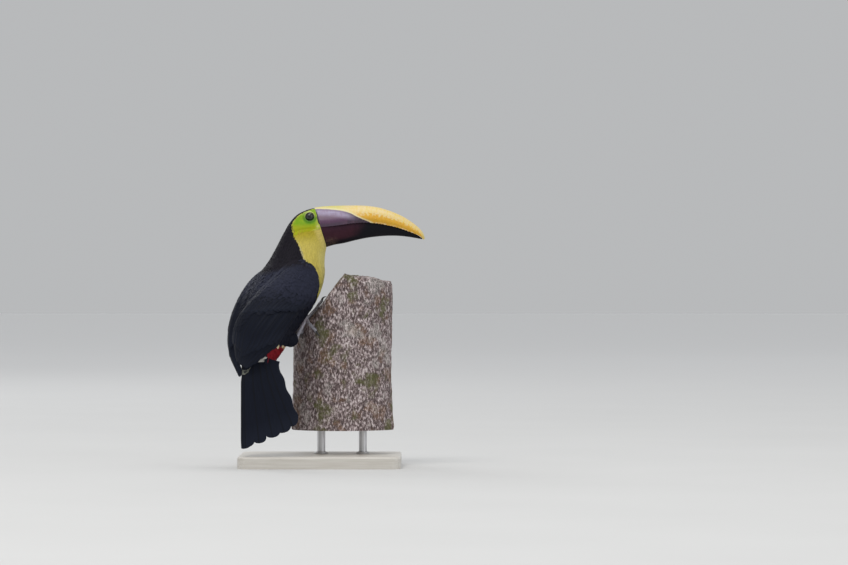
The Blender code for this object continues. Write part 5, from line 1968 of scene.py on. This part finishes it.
@dataclass
class Bill:
    """The two mandibles, with a toothed cutting edge and a raised rim at the base."""

    upper_finish: Material
    lower_finish: Material
    # Ridge: along X, height; cutting edge: along X, height; half width (mm).
    upper: tuple[tuple[float, ...], ...] = (
        (-7.9, 384.3, -0.3, 355.2, 18.2), (5.6, 385.9, 11.4, 355.9, 19.0), (24.0, 386.9, 27.0, 357.8, 19.0),
        (45.0, 387.2, 46.0, 360.7, 18.3), (66.0, 386.9, 65.0, 362.0, 17.2), (86.0, 384.3, 84.0, 361.0, 15.7),
        (103.0, 379.3, 100.0, 358.2, 13.8), (119.0, 372.7, 115.0, 354.7, 11.6), (134.0, 363.8, 129.0, 350.0, 9.2),
        (146.0, 354.3, 141.0, 345.3, 6.6), (152.6, 346.0, 148.8, 340.9, 4.2), (155.2, 338.8, 153.3, 336.4, 1.6))
    # Cutting edge: along X, height; keel: along X, height; half width (mm).
    lower: tuple[tuple[float, ...], ...] = (
        (0.2, 355.5, 9.6, 325.6, 17.8), (11.4, 356.2, 21.4, 329.0, 17.4), (27.0, 358.1, 36.0, 331.6, 16.4),
        (46.0, 361.0, 52.0, 335.6, 15.2), (65.0, 362.3, 68.0, 339.0, 13.6), (84.0, 361.3, 85.0, 341.2, 11.8),
        (100.0, 358.5, 101.0, 342.3, 9.8), (115.0, 355.0, 116.0, 342.2, 8.0), (129.0, 350.3, 130.0, 340.8, 6.0),
        (141.0, 345.5, 141.5, 339.0, 3.9), (151.0, 338.9, 151.3, 337.2, 1.3))
    rings: int = 260
    half_sides: int = 40
    rim: float = 0.45 * MM              # how far the black rim at the base stands out
    tooth_pitch: float = 4.4 * MM
    tooth_depth: float = 0.75 * MM

    def bulge(self, share: Array, upper: bool) -> Array:
        """Half width at a share of the way down: a power of a sine above, of a cosine below."""
        if upper:
            rounded = np.sin(np.minimum(share / 0.8, 1) * math.pi / 2) ** 0.8
            return rounded * (1 - 0.07 * np.maximum(share - 0.8, 0) / 0.2)
        return (0.93 + 0.07 * np.minimum(share / 0.3, 1)) * np.maximum(np.cos(share * math.pi / 2), 0) ** 0.55

    def mandible(self, node: str, rows: Array, upper: bool, finish: Material) -> None:
        """Build one mandible from rings that run down one side and up the other.

        Args:
            node: the solid that it is shown instead of.
            rows: its sections.
            upper: true for the upper one, whose flat side is below.
            finish: its material.
        """
        along = np.linspace(0, 1, self.rings)
        row = through(rows, along * (len(rows) - 1))
        share = np.linspace(0, 1, self.half_sides)
        share = share + 0.04 * np.sin(2 * math.pi * share)
        line = (row[:, None, 0:2] + (row[:, None, 2:4] - row[:, None, 0:2]) * share[None, :, None]) * MM
        across = row[:, None, 4] * MM * self.bulge(share, upper)[None, :]
        across = across + self.rim * (smooth(-along, -0.014, -0.010)[:, None]) * (self.bulge(share, upper) > 0.05)
        if upper:
            tooth = (line[..., 0] / self.tooth_pitch) % 1
            depth = smooth(line[..., 0], 22 * MM, 45 * MM) * smooth(-line[..., 0], -150 * MM, -138 * MM)
            line[..., 1] -= self.tooth_depth * depth * tooth * smooth(share, 0.90, 1.0)[None, :]
            flute = 0.28 * MM * np.sin(share * 9.0) * smooth(share, 0.12, 0.4) * smooth(-share, -0.9, -0.6)
            across = across + flute[None, :] * smooth(-along, -0.9, -0.5)[:, None]
        pivot = BODY.pivot[1]
        right = np.stack([line[..., 0], pivot - across, line[..., 1]], -1)
        left = np.stack([line[..., 0], pivot + across, line[..., 1]], -1)[:, ::-1]
        left = left[:, :-1] if upper else left[:, 1:]
        rings = np.concatenate([right, left], 1)
        middle = rings[0].mean(0)
        root = middle + (rings[0] - middle) * 0.90 - [1.0 * MM, 0, 0]
        rings, along = np.concatenate([root[None], rings]), np.concatenate([[0.0], along])
        mesh = loft(f"{node}_horn", rings, 60)
        down = np.concatenate([share, share[::-1][:-1] if upper else share[::-1][1:]])
        lie = np.stack(alike(along[:, None], down, 0.0), -1).reshape(-1, 3)
        set_attribute(mesh, "lie", np.vstack([lie, [0.0, 0.5, 0.0], [1.0, 0.5, 0.0]]))
        add_piece(mesh.name, mesh, finish, "bill" if upper else "bill_lower", [node])

    def build(self) -> None:
        """Build both mandibles."""
        self.mandible("bill_upper", np.array(self.upper), True, self.upper_finish)
        self.mandible("bill_lower", np.array(self.lower), False, self.lower_finish)


# ---------------------------------------------------------------- stand and studio

@dataclass
class Stand:
    """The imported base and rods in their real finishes, with a collar under the trunk on each rod."""

    lacquer: Material
    steel: Material
    radius: float = 10 * MM             # of a collar
    height: float = 3 * MM
    sides: int = 72

    def dress(self, node: str, finish: Material) -> None:
        """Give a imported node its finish."""
        materials = frame["nodes"][node].data.materials
        materials.clear()
        materials.append(finish)

    def build(self) -> None:
        """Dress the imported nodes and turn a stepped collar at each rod's foot."""
        self.dress("stand_base", self.lacquer)
        for node in ("stand_rod_left", "stand_rod_right"):
            self.dress(node, self.steel)
            low, high = (np.array(corner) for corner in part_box(node))
            x, y = (low + high)[:2] / 2
            inner = (high - low)[0] / 2 + 0.05 * MM
            profile = np.array([(inner, 0.0), (self.radius - 0.4 * MM, 0.0), (self.radius, 0.4 * MM),
                                (self.radius, 0.6 * self.height), (self.radius - 0.5 * MM, 0.8 * self.height),
                                (inner + 1.0 * MM, self.height), (inner, self.height)])
            reach, height = profile[:, :1], np.broadcast_to(profile[:, 1:], (len(profile), self.sides))
            angle, side = np.linspace(0, 2 * math.pi, self.sides, endpoint=False), np.arange(self.sides)
            rings = np.stack([x + reach * np.cos(angle), y + reach * np.sin(angle),
                              low[2] - 0.3 * MM + height], -1)
            after, top = (side + 1) % self.sides, (len(profile) - 1) * self.sides
            bore = np.stack([side + top, after + top, after, side], -1)
            mesh = make_mesh(f"{node}_collar", rings, [ring_faces(len(profile), self.sides), bore], 30)
            add_piece(mesh.name, mesh, self.steel, "stand_rod")


@dataclass
class Studio:
    """Pale floor, soft lamps and the camera."""

    aim: Colour = (153.9 * MM, -28 * MM, 273.2 * MM)
    distance: float = 6.0
    view_width: float = 1.255           # width of the view at the bird
    sensor: float = 36.0                # mm
    glow: Colour = (0.60, 0.61, 0.62)   # light from all round
    floor_tone: float = 0.80            # how much of it the floor gives back
    floor_radius: float = 30.0
    # Name, place, size, power and colour of each lamp.
    lamps: tuple[tuple[str, Colour, float, float, Colour], ...] = (
        ("key", (-1.4, -3.2, 4.6), 2.6, 128.0, (1.0, 0.98, 0.95)),
        ("fill", (4.4, -3.8, 2.2), 3.6, 54.0, (0.95, 0.97, 1.0)),
        ("rear", (-2.8, 3.8, 3.4), 2.8, 52.0, (0.98, 0.99, 1.0)),
        ("top", (0.6, 0.4, 5.6), 3.2, 82.0, (1.0, 1.0, 1.0)))

    def put(self, name: str, data: bpy.types.ID, place: Colour = (0, 0, 0), turn: Colour = (0, 0, 0)) -> Piece:
        """Link an object of the studio at a place and a turn."""
        made = bpy.data.objects.new(name, data)
        made.location, made.rotation_euler = place, turn
        bpy.context.scene.collection.objects.link(made)
        return made

    def lay_floor(self) -> None:
        """Lay a large pale disc."""
        graph = FinishGraph("floor_pale")
        tone = graph.noise(graph.objects(), 3.0, 3.0)
        away = graph.node("VectorMath", {0: graph.objects()}, operation="LENGTH").outputs["Value"]
        near = graph.mix(tone, (0.53, 0.53, 0.525), (0.57, 0.57, 0.565))
        finish = graph.dress(graph.mix(graph.rise(away, 1.0, 9.0), near, (0.80, 0.80, 0.80)),
                             graph.line(tone, 0.1, 0.75))
        angle, side = np.linspace(0, 2 * math.pi, 96, endpoint=False), np.arange(96)
        circle = np.stack([np.cos(angle), np.sin(angle), 0 * angle], -1)
        points = np.vstack([circle * self.floor_radius, [[0, 0, 0]]])
        mesh = make_mesh("floor", points, [np.stack([side, (side + 1) % 96, np.full(96, 96)], -1)])
        mesh.materials.append(finish)
        self.put("floor", mesh)

    def build(self) -> None:
        """Set up the floor, the lamps, the pale surroundings and the camera."""
        self.lay_floor()
        for name, place, size, power, colour in self.lamps:
            data = bpy.data.lights.new(name, "AREA")
            data.size, data.energy, data.color = size, power, colour
            turn = (Vector((0.0, 0.0, 0.24)) - Vector(place)).to_track_quat("-Z", "Y").to_euler()
            self.put(name, data, place, turn)
        world = bpy.data.worlds.new("studio")
        world.use_nodes = True
        graph = Graph(world.node_tree)
        seen = graph.node("LightPath").outputs["Is Camera Ray"]
        sky = graph.mix(seen, self.glow, tuple(self.floor_tone * part for part in self.glow))
        graph.feed(world.node_tree.nodes["Background"].inputs["Color"], sky)
        bpy.context.scene.world = world
        bpy.context.scene.view_settings.view_transform = "Standard"
        data = bpy.data.cameras.new("camera")
        data.sensor_width, data.lens = self.sensor, self.sensor * self.distance / self.view_width
        data.clip_end = 60.0
        place = (self.aim[0], self.aim[1] - self.distance, self.aim[2])
        bpy.context.scene.camera = self.put("camera", data, place, (math.pi / 2, 0.0, 0.0))


def main() -> None:
    """Build the model's looks in order; each piece logs its number of faces."""
    logging.basicConfig(level=logging.INFO, format="%(name)s %(message)s")
    Studio().build()
    markings, barbs, horn = markings_group(), barbs_group(), horn_group()
    Bill(UpperBillFinish().make(horn), LowerBillFinish().make(horn)).build()
    wet = EyeFinish().make()
    for side in Side:
        Eye(side, wet).build()
    Skin().build(SkinFinish().make(markings), LegFinish().make())
    claws = CLAW_HORN.make(Coat_Weight=0.3, Coat_Roughness=0.15)
    for leg in LEGS:
        leg.build_claws(claws)
    coat = CoatFinish().make(markings, barbs)
    Coat(coat).build()
    quills = QuillFinish().make(barbs)
    for side in Side:
        Wing(WingForm(side), coat, quills).build()
    Tail(quills).build()
    PERCH.build(BarkFinish().make())
    Stand(BASE_LACQUER.make(Coat_Weight=0.25, Coat_Roughness=0.3), ROD_STEEL.make(Metallic=1.0)).build()


if __name__ == "__main__":
    main()
